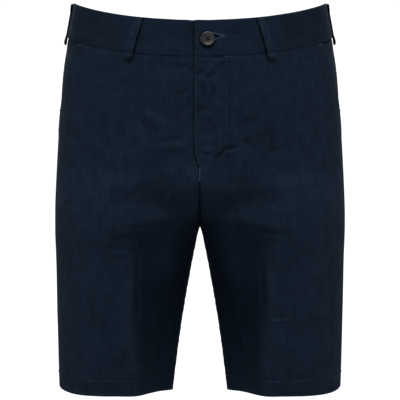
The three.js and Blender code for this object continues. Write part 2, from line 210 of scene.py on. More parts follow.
# Folds and creases. Across and height give the middle, turn is the angle of the length from level in
# degrees, then half the length, the width and the depth, which is positive for a ridge. Both is 1 for
# a fold that is mirrored on the other leg.
FRONT_FOLDS = np.array([
    (100, -196, 8, 44, 10, 2.5, 1),
    (66, -209, 2, 62, 16, -5, 1),
    (68, -243, -8, 62, 15, 5.5, 1),
    (38, -236, -4, 34, 11, 4, 1),
    (0, -214, 90, 50, 19, 10, 0),
    (0, -226, 90, 36, 4.5, -6, 0),
    (68, -300, -8, 62, 42, -5.5, 1),
    (88, -372, 88, 158, 13, 6, 1),
    (42, -380, 87, 165, 28, -18, 1),
    (58, -390, 88, 120, 12, -3, 1),
    (125, -330, 88, 170, 30, 2.5, 1),
    (-46, -126, -42, 45, 12, 2, 0),
    (83, -142, -20, 38, 14, -3, 0),
    (-95, -165, 35, 50, 15, 2, 0),
    # Drags and creases round the fly's end.
    (24.4, -159.7, 52, 12, 2.5, -3.6, 0),
    (37.7, -152.3, 10, 14, 2.5, -3.4, 0),
    (36, -156, 12, 14, 3.4, 1.6, 0),
    (10, -160, 2, 9, 2.2, -1.4, 0),
    (8, -155, 0, 10, 3.0, 1.2, 0),
    (55, -122, 35, 18, 6, -2.0, 0),
    (58, -147, -24, 20, 5, -1.9, 0),
    (92, -154, -20, 14, 3.5, -1.2, 0),
    # Puckers of the lap between its edge and its stitching.
    (1, -59, 26, 9, 2.6, -2.2, 0),
    (2, -68, 20, 8, 3.0, 1.7, 0),
    (9, -64, 10, 6, 2.2, -1.5, 0),
    (14, -53, 80, 10, 2.6, 1.7, 0),
    (20, -58, 70, 10, 3.0, -1.9, 0),
    (11, -84, 88, 12, 2.4, 2.0, 0),
    (16, -83, 88, 12, 2.2, -1.9, 0),
    (5, -82, 84, 11, 2.4, -1.9, 0),
    (3, -104, 10, 9, 4.0, -1.9, 0),
    (9, -114, 20, 10, 4.0, 1.5, 0),
    (4, -130, 88, 9, 2.2, -1.4, 0),
    (22, -101, -30, 12, 3.4, 1.4, 0),
    (20, -128, 40, 13, 4.0, -1.2, 0),
    (12, -141, -14, 11, 3.6, 1.2, 0),
    (22, -40, 4, 9, 2.4, -1.4, 0),
    (24, -45, 4, 10, 2.4, 1.2, 0),
    # Puckers of the right front beside the lap.
    (-12, -57, 70, 10, 3.0, -1.9, 0),
    (-21, -52, 30, 10, 3.4, -1.5, 0),
    (-13, -97, 78, 13, 3.0, -2.0, 0),
    (-20, -84, 40, 13, 3.6, -1.4, 0),
    (-25, -110, 55, 15, 4.0, -1.4, 0),
    (-30, -72, 62, 15, 4.0, 1.4, 0),
    (-36, -150, 8, 26, 5, 2.2, 0),
    (-34, -143, 4, 24, 5, -1.5, 0),
    (-52, -118, -38, 24, 4.5, 1.9, 0),
    (-60, -128, -38, 20, 4.5, -1.4, 0),
    (-66, -103, -30, 20, 5, -1.2, 0),
    # Soft drags over the thighs, each leg its own.
    (-88, -225, -12, 34, 7, 1.2, 0),
    (-84, -262, 8, 34, 6, -1.8, 0),
    (-66, -247, 10, 42, 4.2, -1.7, 0),
    (80, -254, -9, 44, 4.2, -1.7, 0),
    (92, -229, 16, 30, 7, 1.2, 0),
    (-56, -195, 12, 28, 6, -1.2, 0),
    (50, -193, -8, 30, 6, -1.2, 0),
    (-38, -214, 60, 16, 4, 1.0, 0),
    (41, -212, -66, 16, 3.4, 1.2, 0),
    (-102, -275, 3, 17, 3, -1.0, 0),
    (-97, -281, 6, 15, 3, 0.8, 0),
    (98, -360, 2, 11, 2.6, -1.2, 0),
    (97, -364, 3, 12, 3.0, 1.0, 0),
    (88, -371, 84, 12, 3.2, 0.8, 0),
    (-118, -372, 30, 12, 3.4, -0.8, 0),
    (-126, -353, 60, 15, 4.0, 0.8, 0),
    (-112, -402, 72, 18, 4.4, -0.8, 0),
    (118, -318, 66, 24, 5, 1.0, 0),
    (112, -300, 62, 24, 5, -0.8, 0),
    (-128, -300, 74, 30, 6, 0.8, 0),
    # The lower ends of the long folds, each leg its own.
    (-84, -326, 86, 62, 4.6, 2.2, 0),
    (-76, -336, 86, 72, 5, -3.2, 0),
    (85, -316, 95, 60, 4.6, 2.2, 0),
    (77, -332, 96, 72, 5, -3.2, 0),
    (-96, -418, 70, 28, 7, -1.1, 0),
    (92, -414, 104, 30, 7, -1.1, 0),
    (-48, -300, 78, 44, 6, 0.9, 0),
    (49, -312, 101, 40, 6, 0.9, 0),
    # Faint long drags from the waist.
    (-100, -78, 80, 44, 8, 0.8, 0),
    (-78, -92, 74, 40, 8, -0.7, 0),
    (104, -84, 99, 42, 8, 0.8, 0),
    (76, -96, 103, 38, 8, -0.7, 0),
], dtype=float)
BACK_FOLDS = np.array([
    (78, -262, -8, 70, 15, -3.5, 1),
    (84, -228, -5, 72, 17, 2, 1),
    (60, -300, 28, 58, 14, 3.5, 1),
    (98, -360, 86, 95, 16, 5, 1),
    (66, -375, 94, 80, 15, -4, 1),
    (52, -88, 62, 55, 15, -2.5, 1),
    # Drags below the seat.
    (50, -244, 16, 40, 6, -1.8, 0),
    (-54, -240, 20, 44, 6.5, -1.9, 0),
    (94, -252, -12, 38, 6, -1.4, 0),
    (-98, -256, -16, 36, 6, -1.3, 0),
    (58, -270, 10, 40, 7, 1.2, 0),
    (-62, -274, 12, 42, 7, 1.3, 0),
    (36, -290, 44, 28, 5, -1.4, 0),
    (-34, -286, 48, 28, 5, -1.4, 0),
    (26, -226, 56, 26, 5, -1.1, 0),
    (-24, -222, 60, 24, 5, -1.2, 0),
    # Creases behind the knees and long folds down the legs.
    (92, -330, 80, 52, 5, -1.4, 0),
    (-88, -338, 84, 56, 5.5, -1.5, 0),
    (108, -384, 96, 40, 6, 1.2, 0),
    (-112, -372, 80, 44, 6, 1.2, 0),
    (74, -408, 88, 34, 7, 1.0, 0),
    (-70, -414, 96, 34, 7, 1.0, 0),
    (124, -300, 64, 30, 6, 0.9, 0),
    (-126, -308, 110, 30, 6, 0.9, 0),
    # Soft drags over the seat and below the waist.
    (70, -150, 36, 40, 8, 0.9, 0),
    (-74, -144, 32, 42, 8, 0.9, 0),
    (34, -120, 74, 34, 6, -1.0, 0),
    (-38, -112, 106, 34, 6, -0.9, 0),
    (24, -60, 70, 22, 5, 0.8, 0),
    (-20, -64, 98, 22, 5, 0.8, 0),
    (96, -76, 96, 34, 8, -0.8, 0),
    (-92, -70, 82, 34, 8, -0.8, 0),
    (116, -186, 60, 34, 8, 0.9, 0),
    (-112, -192, 118, 34, 8, 0.9, 0),
], dtype=float)
FOLD_TAPER = 0.45

# The unevenness that all washed linen has: how many waves, their lengths and their height together.
RIPPLE_SEED = 11
RIPPLE_WAVES = 26
RIPPLE_SHORTEST = 16
RIPPLE_LONGEST = 70
RIPPLE_HEIGHT = 0.5

# Seams draw their cloth in, with small puckers along the stitching.
ROLL_WIDTH = 1.7
ROLL_DEPTH = 0.55
PUCKER_REACH = 9
PUCKER_DEPTH = 0.32
PUCKER_SHORT = 2.1
PUCKER_LONG = 5.3
PUCKER_WANDER = 9.0
WORN_REACH = 2.4
# Fold crests are made paler, partly as wear and partly as painted light, and hollows get painted shade: a
# share of the fold's height, held within limits.
CREST_WEAR_AND_SHADE = 0.09
CREST_WEAR_AND_SHADE_LIMITS = (-0.3, 0.7)
MEET_REACH = 4
ALLOWANCE = 11
ALLOWANCE_STEP = 0.28
ALLOWANCE_EDGE = 1.5
ALLOWANCE_FADES_IN = 40

# Painted light beside the fork, which makes the shaded cloth there paler: share, place across, drift
# outwards, width, level of the top, and the lengths over which it fades in at the top and out at the low
# end.
FORK_PAINTED_LIGHT = (
    (0.8, 26, 0.17, 13, -188, 15, 40),
    (0.42, 66, 0, 36, -244, 10, 45),
)
FORK_PAINTED_LIGHT_DRIFTS_AT = -222
FORK_PAINTED_LIGHT_END = -335

# Shade beside the lap, and on the waistband from outside the front loops to the side.
LAP_SHADE = 0.9
LAP_SHADE_ON_FRONT = 1.7
LAP_SHADE_ON_BAND = 2.6
SIDE_SHADE = 0.28
SIDE_SHADE_FROM = 85
SIDE_SHADE_TO = 172
SIDE_SHADE_RISE = 25
SIDE_SHADE_FALL = 14

# Grids.
NORMAL_STEP = 1e-3
ARC_SAMPLES = 240
EDGE_STEPS = 3
FRONT_STEP = 2.0
BACK_STEP = 2.4
BAND_STEP = 0.9
BAND_COLUMN_STEP = 1.7
STRIP_STEP = 2.2


# Numbers

def smooth(value):
    """Rises from 0 to 1 with the value and is level at both ends: three squares less two cubes."""
    t = np.clip(value, 0, 1)
    return t * t * (3 - 2 * t)


def mix(start, end, share):
    """The start plus the share of the way to the end."""
    return start + (end - start) * share


def unit(vectors):
    """Each vector over its own length."""
    return vectors / np.linalg.norm(vectors, axis=-1, keepdims=True)


def running_length(points):
    """The length along each row of points: the sum of the distances between neighbours, from 0."""
    steps = np.linalg.norm(np.diff(points, axis=-2), axis=-1)
    first = np.zeros(steps.shape[:-1] + (1,))
    return np.concatenate([first, np.cumsum(steps, axis=-1)], axis=-1)


def along_rows(wanted, known, values):
    """Row by row, the values on straight lines between the known places. Each row is moved past the
    last one, so that one interpolation serves them all."""
    low = min(wanted.min(), known.min())
    span = max(wanted.max(), known.max()) - low + 1
    shift = np.arange(len(known))[:, None] * span - low
    flat = np.interp((wanted + shift).ravel(), (known + shift).ravel(), values.ravel())
    return flat.reshape(wanted.shape)


# Form of the shorts

def section(column, height):
    """One column of SECTIONS at any height: a cubic between rows, whose slope at a row is that of the
    line through the rows above and below it, and a straight line past the ends."""
    heights = SECTIONS[:, 0]
    values = SECTIONS[:, column]
    last = len(heights) - 1
    above = np.maximum(np.arange(last + 1) - 1, 0)
    below = np.minimum(np.arange(last + 1) + 1, last)
    slopes = (values[above] - values[below]) / (heights[above] - heights[below])
    i = np.clip(np.searchsorted(-heights, -np.asarray(height, dtype=float)) - 1, 0, last - 1)
    span = heights[i + 1] - heights[i]
    free = (height - heights[i]) / span
    t = np.clip(free, 0, 1)
    cubic = (2 * t**3 - 3 * t**2 + 1) * values[i] + (t**3 - 2 * t**2 + t) * span * slopes[i]
    cubic += (3 * t**2 - 2 * t**3) * values[i + 1] + (t**3 - t**2) * span * slopes[i + 1]
    return cubic + (free - t) * span * np.where(free < 0, slopes[i], slopes[i + 1])


def leg_gap(height):
    """Half the gap between the legs: it opens below the fork, faster at first."""
    down = np.clip((FORK - height) / (FORK - HEM), 0, 1)
    return LEG_GAP_AT_HEM * down * (1 + LEG_GAP_BOW * (1 - down))


def half_ring(front, height):
    """The ellipse that one half follows at a height: its centre, its radius across and its depth. The
    centre moves out from the middle of the trunk to the middle of the leg as the leg splits off."""
    half_width = section(HALF_WIDTH, height)
    rise = np.where(front, FRONT_RISE, BACK_RISE)
    split = 1 - smooth((height - FORK) / rise)
    trunk = half_width / (1 + split)
    leg = (half_width - leg_gap(height)) / 2
    radius = np.where(height >= FORK, trunk, leg)
    depth = np.where(front, section(FRONT_DEPTH, height), section(BACK_DEPTH, height))
    return half_width - radius, radius, depth


def form_point(angle, height):
    """A point of the left half: the ring's centre plus its radius times the cosine, and its depth times
    the sine towards the front. The angle is 0 at the widest line and positive round the front."""
    centre, radius, depth = half_ring(angle > 0, height)
    x = centre + radius * np.cos(angle)
    y = -depth * np.sin(angle)
    return np.stack(np.broadcast_arrays(x, y, height), axis=-1)


def form_normal(angle, height):
    """The form's outward direction: across both the way up and the way round."""
    near = NORMAL_STEP
    turned = form_point(angle + near, height) - form_point(angle - near, height)
    risen = form_point(angle, height + near) - form_point(angle, height - near)
    return unit(np.cross(risen, turned))


def folds_at(folds, x, height):
    """The sum of the folds: each is its depth, times a bell across its width, times the square of one
    less the square of the share of its half length."""
    total = np.zeros(np.broadcast(x, height).shape)
    for across, middle, turn, half_length, width, depth, both in folds:
        cosine, sine = np.cos(np.radians(turn)), np.sin(np.radians(turn))
        for side in (1, -1) if both else (1,):
            dx = side * x - across
            dz = height - middle
            along = (dx * cosine + dz * sine) / half_length
            over = (dz * cosine - dx * sine) / width
            total += depth * np.maximum(1 - along**2, 0) ** 2 * np.exp(-over**2)
    return total


def ripple(x, height, face):
    """Low waves in many directions, added up, with their phases drawn once from a seed."""
    draw = np.random.default_rng(RIPPLE_SEED + face)
    turns = draw.uniform(0, np.pi, RIPPLE_WAVES)
    lengths = RIPPLE_SHORTEST * (RIPPLE_LONGEST / RIPPLE_SHORTEST) ** draw.random(RIPPLE_WAVES)
    phases = draw.uniform(0, 2 * np.pi, RIPPLE_WAVES)
    total = np.zeros(np.broadcast(x, height).shape)
    for turn, length, phase in zip(turns, lengths, phases):
        place = x * np.cos(turn) + 0.6 * height * np.sin(turn)
        total += np.sin(2 * np.pi * place / length + phase) * (length / RIPPLE_LONGEST) ** 0.7
    return RIPPLE_HEIGHT * total / np.sqrt(RIPPLE_WAVES / 2)


def relief(angle, x, height):
    """The folds' height above the plain form, faded out towards the widest line."""
    taper = smooth(np.abs(np.sin(angle)) / FOLD_TAPER)
    front = folds_at(FRONT_FOLDS, x, height) + ripple(x, height, 0)
    back = folds_at(BACK_FOLDS, x, height) + ripple(x, height, 1)
    return np.where(angle > 0, front, back) * taper


def row_height(level, angle):
    """The real height on a level row: less the waist's dip, plus the hem's lift at the side."""
    dip = np.where(angle > 0, FRONT_DIP, BACK_DIP)
    dip_share = smooth((level - DIP_FADES_AT) / (WAIST_SEAM - DIP_FADES_AT))
    lift_share = smooth((HEM_LIFT_STARTS - level) / (HEM_LIFT_STARTS - HEM))
    side_share = np.maximum(np.cos(angle), 0) ** HEM_LIFT_POWER
    dipped = dip * dip_share * np.abs(np.sin(angle)) ** DIP_POWER
    return level - dipped + HEM_LIFT * lift_share * side_share


def cloth_point(half, angle, level, offset=0.0):
    """A point of the cloth: the form's point, moved out along the form's normal by the offset and the
    folds. Half is 1 for the left and -1 for the right, whose x is turned over."""
    height = row_height(level, angle)
    point = form_point(angle, height)
    out = offset + relief(angle, half * point[..., 0], height)
    point = point + form_normal(angle, height) * out[..., None]
    point[..., 0] *= half
    return point


def angle_at(x, level, front):
    """The angle where a half's surface lies at x: the cosine undone, three times as the row dips."""
    sign = 1 if front else -1
    angle = np.full(np.broadcast(x, level).shape, sign * np.pi / 2)
    for _ in range(3):
        centre, radius, _ = half_ring(front, row_height(level, angle))
        cosine = np.clip((x - centre) / radius, -1, 1)
        angle = sign * np.arccos(cosine)
    return angle


def lap_offset(half, x, level):
    """The left front is raised over the lap, and the right front is lowered under it."""
    share = smooth((level - FLY_FADES_AT) / (FLY_END - FLY_CORNER - FLY_FADES_AT))
    raised = 1 - smooth((x - SHIELD_TO) / (LAP_FADES_AT - SHIELD_TO))
    lowered = -smooth((x - FLY_EDGE + LAP_RAMP + LAP_DOWN_BEFORE) / LAP_RAMP)
    return share * LAP_STEP * (raised if half > 0 else lowered)


def band_lap(half, x):
    """The left band is raised over the lap, and the right band sinks under it."""
    if half > 0:
        return BAND_LIFT * (1 - smooth((x - BAND_UNDERLAP) / (BAND_LIFT_FADES_AT - BAND_UNDERLAP)))
    return -BAND_INSET * smooth((x - FLY_EDGE + LAP_RAMP + LAP_DOWN_BEFORE) / LAP_RAMP)


def mouth_angle(level):
    """The pocket mouth's angle: a straight line from its tip to the waist seam."""
    share = (level - MOUTH_TIP) / (WAIST_SEAM - MOUTH_TIP)
    return mix(MOUTH_TIP_ANGLE, MOUTH_TOP_ANGLE, share)


def front_edge(half, level):
    """Where a front's centre edge lies in its own half's x: the lap or the underlap down to the fly's
    end, and half a gap from the centre below it."""
    rise = smooth((level - FLY_END) / (FLY_STRAIGHT_TO - FLY_END))
    fly = mix(FLY_EDGE_LOW, FLY_EDGE, rise) if half > 0 else -UNDERLAP
    share = np.clip((level - FLY_END + FLY_CORNER) / FLY_CORNER, 0, 1)
    return mix(leg_gap(level), fly, share)


# Meshes

def make_piece(name, points, faces, material, uv=None, worn=None):
    """A mesh object at the origin from points in millimetres and arrays of faces, each array with its
    own count of corners. The faces are turned round together if their volume comes out negative."""
    first = [f[:, [0, k, k + 1]] for f in faces for k in range(1, f.shape[1] - 1)]
    a, b, c = (points[np.concatenate(first)[:, k]] for k in range(3))
    if np.einsum("ij,ij->", a, np.cross(b, c)) < 0:
        faces = [f[:, ::-1] for f in faces]
    corners = np.concatenate([f.ravel() for f in faces])
    counts = np.concatenate([np.full(len(f), f.shape[1]) for f in faces])
    mesh = bpy.data.meshes.new(name)
    mesh.vertices.add(len(points))
    mesh.vertices.foreach_set("co", (points * MM).ravel())
    mesh.loops.add(len(corners))
    mesh.loops.foreach_set("vertex_index", corners)
    mesh.polygons.add(len(counts))
    mesh.polygons.foreach_set("loop_start", np.cumsum(counts) - counts)
    mesh.polygons.foreach_set("use_smooth", np.ones(len(counts), dtype=bool))
    if uv is not None:
        layer = mesh.uv_layers.new(name="cloth")
        layer.uv.foreach_set("vector", (uv[corners] * MM).ravel())
    # The attribute holds the cloth's wear together with painted light and painted shade, and the thread's
    # painted highlights.
    if worn is not None:
        mesh.attributes.new("worn", "FLOAT", "POINT").data.foreach_set("value", worn)
    mesh.update(calc_edges=True)
    mesh.validate()
    mesh.materials.append(material)
    piece = bpy.data.objects.new(name, mesh)
    bpy.context.scene.collection.objects.link(piece)
    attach(piece, BODY)
    return piece


def quads(index):
    """The four-sided faces of a grid of point numbers."""
    corners = (index[:-1, :-1], index[:-1, 1:], index[1:, 1:], index[1:, :-1])
    return np.stack(corners, axis=-1).reshape(-1, 4)


def two_sided(outside, inside):
    """Points and faces of a closed sheet, and which of both grids' points it keeps: an outer and an
    inner grid that share their border points."""
    rows, columns = outside.shape[:2]
    index = np.arange(rows * columns).reshape(rows, columns)
    back = index + rows * columns
    border = np.ones((rows, columns), dtype=bool)
    border[1:-1, 1:-1] = False
    back[border] = index[border]
    faces = np.concatenate([quads(index), quads(back)[:, ::-1]])
    used, faces = np.unique(faces, return_inverse=True)
    points = np.concatenate([outside.reshape(-1, 3), inside.reshape(-1, 3)])
    return points[used], faces.reshape(-1, 4), used


def rounded_steps(radius):
    """Distances from an edge that follow a quarter circle of the radius."""
    turn = np.linspace(0, np.pi / 2, EDGE_STEPS + 1)
    return radius * (1 - np.cos(turn))


def stops_between(length, step, radius):
    """Stops from 0 to each length: close ones along the rounded edges and even ones between."""
    edge = rounded_steps(radius)
    longest = np.max(length)
    count = int(np.ceil(longest / step))
    even = np.linspace(0, 1, count + 1)[1:-1]
    length = np.asarray(length, dtype=float)[..., None]
    middle = radius + (length - 2 * radius) * even
    start = np.broadcast_to(edge, length.shape[:-1] + edge.shape)
    return np.concatenate([start, middle, length - start[..., ::-1]], axis=-1)


def cloth_sheet(name, half, top, bottom, edges, outer, thickness, steps, material, **finish):
    """A sheet of cloth on the form. Its rows are level and its columns are evenly spaced round the form
    from one edge to the other. The outer face lies at the outer offset, drawn in along sewn edges by a
    bell of the distance to them, and the thickness closes at each edge along a half circle.

    finish gives the slot, which is not used, the sewn edges and the edge wear as shares for (start, end,
    top, bottom), seam_top for a top edge that goes on past its seam, meets_middle where the end edge is
    pulled to the middle of the garment, grain_x for cloth whose threads run down, and shift to move the
    weave. Crests of folds are made paler, partly as wear and partly as painted light, and hollows darker
    with painted shade, by crest_wear times their height. The front is darkened by the painted shade that
    shade gives, a function of x and the level, and made paler with painted light where it is negative. It
    gives back the piece.
    """
    radius = PANEL_CLOTH / 2
    level = top - stops_between(top - bottom, steps[0], radius)
    start, end = edges(level)
    share = np.linspace(0, 1, ARC_SAMPLES)
    samples = start[:, None] + (end - start)[:, None] * share
    curve = form_point(samples, row_height(level[:, None], samples))
    arc = running_length(curve)
    place = stops_between(arc[:, -1], steps[1], radius)
    angle = along_rows(place, arc, samples)
    level = np.broadcast_to(level[:, None], angle.shape)
    height = row_height(level, angle)
    x = half * form_point(angle, height)[..., 0]
    near = (place, arc[:, -1:] - place, top - level, level - bottom)
    seam_near = (*near[:2], np.abs(level - finish.get("seam_top", top)), near[3])
    sewn = finish.get("sewn", (0, 0, 0, 0))
    worn = finish.get("worn", (0, 0, 0, 0))
    face = outer(x, level, angle) - drawn_in(seam_near, sewn, place, level)
    thick = thickness(level) if callable(thickness) else thickness
    to_edge = np.minimum.reduce(np.broadcast_arrays(*near))
    bulge = np.sqrt(1 - (1 - np.clip(to_edge / radius, 0, 1)) ** 2)
    middle = face - thick / 2
    outside = cloth_point(half, angle, level, middle + bulge * thick / 2)
    inside = cloth_point(half, angle, level, middle - bulge * thick / 2)
    pull = outside[:, -1:, 0] * finish.get("meets_middle", 0) * np.exp(-(near[1] / MEET_REACH) ** 2)
    outside[..., 0] -= pull
    inside[..., 0] -= pull
    points, faces, used = two_sided(outside, inside)
    if "grain_x" in finish:
        line = np.full((len(arc), 1), -float(finish["grain_x"]))
        from_grain = place - along_rows(line, -curve[..., 0], arc)
        uv = np.stack([half * from_grain, level], axis=-1)
    else:
        uv = np.stack([level, place], axis=-1)
    uv = uv + np.asarray(finish.get("shift", (0, 0)))
    # Wear along the edges, painted light on fold crests and painted shade in fold hollows, less the
    # painted shade that the shade function gives.
    wear_light_and_shade = sum(weight * np.exp(-(gap / WORN_REACH) ** 2) for weight, gap in zip(worn, near))
    wear_light_and_shade = wear_light_and_shade + np.clip(finish.get("crest_wear", 0) * relief(angle, x, height), *CREST_WEAR_AND_SHADE_LIMITS)
    if "shade" in finish:
        wear_light_and_shade = wear_light_and_shade - finish["shade"](x, level) * (angle > 0)
    wear_light_and_shade = np.broadcast_to(wear_light_and_shade, angle.shape)[..., None]
    both = [np.tile(grid.reshape(-1, grid.shape[-1]), (2, 1))[used] for grid in (uv, wear_light_and_shade)]
    piece = make_piece(name, points, [faces], material, both[0], both[1][:, 0])
    return piece


def drawn_in(near, sewn, place, level):
    """How far sewn edges sink: a bell next to the seam, and puckers along it that fade with distance.
    Past the seam allowance, which lies behind the cloth, the face is a step lower."""
    sunk = 0
    ways = (level, level, place, place)
    for weight, gap, way in zip(sewn, near, ways):
        wave = np.sin(way / PUCKER_SHORT + 1.7 * np.sin(way / PUCKER_WANDER))
        wave = wave * np.sin(way / PUCKER_LONG + 0.8)
        fading = np.exp(-(gap / PUCKER_REACH) ** 2)
        roll = np.exp(-(gap / ROLL_WIDTH) ** 2)
        step = smooth((gap - ALLOWANCE) / ALLOWANCE_EDGE)
        step = step * (1 - smooth((gap - ALLOWANCE) / ALLOWANCE_FADES_IN))
        drawn = ROLL_DEPTH * roll + PUCKER_DEPTH * wave * fading + ALLOWANCE_STEP * step
        sunk = sunk + weight * drawn
    return sunk


# Materials

class Nodes:
    """Adds nodes to a tree. Inputs are given by name or number, as a value or as a socket to link."""

    def __init__(self, tree):
        self.tree = tree
        self.tree.nodes.clear()

    def add(self, kind, inputs, **settings):
        """A new node of the kind, with its inputs and settings."""
        node = self.tree.nodes.new(kind)
        for key, value in settings.items():
            setattr(node, key, value)
        for key, value in inputs.items():
            if isinstance(value, bpy.types.NodeSocket):
                self.tree.links.new(value, node.inputs[key])
            else:
                node.inputs[key].default_value = value
        return node

    def math(self, operation, *values, clamp=False):
        """The operation's result, clamped between 0 and 1 when asked."""
        inputs = dict(enumerate(values))
        return self.add("ShaderNodeMath", inputs, operation=operation, use_clamp=clamp).outputs[0]

    def scaled(self, vector, factors):
        """The vector with each part times its factor."""
        inputs = {0: vector, 1: factors}
        return self.add("ShaderNodeVectorMath", inputs, operation="MULTIPLY").outputs[0]

    def noise(self, vector, detail=2.0, roughness=0.5):
        """Cloudy noise at the vector."""
        inputs = {"Vector": vector, "Scale": 1.0, "Detail": detail, "Roughness": roughness}
        return self.add("ShaderNodeTexNoise", inputs, noise_dimensions="3D").outputs["Fac"]

    def colour(self, factor, low, high):
        """The colour between low and high at the factor."""
        inputs = {"Factor": factor, "A": low, "B": high}
        return self.add("ShaderNodeMix", inputs, data_type="RGBA").outputs["Result"]


def new_group(name, inputs, outputs):
    """An empty shader node group with sockets given as name and kind, and its input and output nodes."""
    group = bpy.data.node_groups.new(name, "ShaderNodeTree")
    for label, kind in inputs:
        group.interface.new_socket(label, in_out="INPUT", socket_type=kind)
    for label, kind in outputs:
        group.interface.new_socket(label, in_out="OUTPUT", socket_type=kind)
    nodes = Nodes(group)
    return group, nodes, nodes.add("NodeGroupInput", {}), nodes.add("NodeGroupOutput", {})


def plain_weave_group():
    """Height and thread mask of a plain weave. With a and b the thread counts across and down, the
    product of sin(pi a) and sin(pi b) tells which thread lies on top, and the height is the larger of
    the two threads' round backs, each raised where it lies on top."""
    scalars = "NodeSocketFloat"
    group, n, given, result = new_group(
        "plain_weave", [("Vector", "NodeSocketVector"), ("Pitch", scalars)],
        [("Height", scalars), ("Down on top", scalars)])
    wander = n.noise(n.scaled(given.outputs["Vector"], (90, 90, 90)), detail=1.0)
    moved = n.math("MULTIPLY_ADD", wander, 0.0016, -0.0008)
    parts = n.add("ShaderNodeSeparateXYZ", {0: given.outputs["Vector"]})
    turns = n.math("DIVIDE", np.pi, given.outputs["Pitch"])
    across = n.math("SINE", n.math("MULTIPLY", n.math("ADD", parts.outputs[0], moved), turns))
    down = n.math("SINE", n.math("MULTIPLY", n.math("ADD", parts.outputs[1], moved), turns))
    top = n.math("MULTIPLY_ADD", n.math("MULTIPLY", across, down), 0.5, 0.5)
    warp = n.math("MULTIPLY", n.math("ABSOLUTE", across), top)
    weft = n.math("MULTIPLY", n.math("ABSOLUTE", down), n.math("SUBTRACT", 1.0, top))
    n.tree.links.new(n.math("MAXIMUM", warp, weft), result.inputs["Height"])
    n.tree.links.new(top, result.inputs["Down on top"])
    return group


def slub_group():
    """Tone and thickness of uneven linen thread: noise drawn out long down the cloth and across it, in
    a fine and a wide size, with thick slubs where a third noise passes a limit."""
    scalars = "NodeSocketFloat"
    group, n, given, result = new_group(
        "linen_slubs", [("Vector", "NodeSocketVector"), ("Down on top", scalars)],
        [("Tone", scalars), ("Slub", scalars), ("Speck", scalars)])
    vector = given.outputs["Vector"]
    fine_down = n.noise(n.scaled(vector, (1500, 22, 1)))
    fine_across = n.noise(n.scaled(vector, (30, 1500, 1)))
    wide_down = n.noise(n.scaled(vector, (420, 24, 1)), detail=3.0, roughness=0.6)
    wide_across = n.noise(n.scaled(vector, (45, 380, 1)), detail=2.0)
    cloud = n.noise(n.scaled(vector, (75, 42, 1)), detail=3.0, roughness=0.6)
    thread = n.add("ShaderNodeMix", {0: given.outputs["Down on top"], 2: fine_across, 3: fine_down})
    tone = n.math("MULTIPLY_ADD", thread.outputs[0], 0.55, -0.275)
    tone = n.math("ADD", tone, n.math("MULTIPLY_ADD", wide_down, 0.7, -0.35))
    tone = n.math("ADD", tone, n.math("MULTIPLY_ADD", wide_across, 0.5, -0.25))
    tone = n.math("ADD", tone, n.math("MULTIPLY_ADD", cloud, 1.1, -0.55))
    slub_down = n.noise(n.scaled(vector, (900, 60, 1)), detail=1.0)
    slub_across = n.noise(n.scaled(vector, (70, 1000, 1)), detail=1.0)
    slub = n.math("MAXIMUM", slub_down, slub_across)
    slub = n.math("MULTIPLY", n.math("SUBTRACT", slub, 0.645), 9.0, clamp=True)
    cells = n.add("ShaderNodeTexVoronoi", {"Vector": n.scaled(vector, (46, 60, 1)), "Scale": 1.0})
    close = n.math("SUBTRACT", 1.0, n.math("MULTIPLY", cells.outputs["Distance"], 17.0), clamp=True)
    rare = n.add("ShaderNodeSeparateXYZ", {0: cells.outputs["Color"]}).outputs[0]
    speck = n.math("MULTIPLY", close, n.math("GREATER_THAN", rare, 0.8))
    n.tree.links.new(n.math("ADD", tone, 0.5, clamp=True), result.inputs["Tone"])
    n.tree.links.new(slub, result.inputs["Slub"])
    n.tree.links.new(speck, result.inputs["Speck"])
    return group


def new_material(name, **surface):
    """A material with a Principled shader whose plain values are set, and its tree ready for nodes."""
    material = bpy.data.materials.new(name)
    material.use_nodes = True
    nodes = Nodes(material.node_tree)
    shader = nodes.add("ShaderNodeBsdfPrincipled", surface)
    output = nodes.add("ShaderNodeOutputMaterial", {"Surface": shader.outputs[0]})
    output.target = "ALL"
    return material, nodes, shader


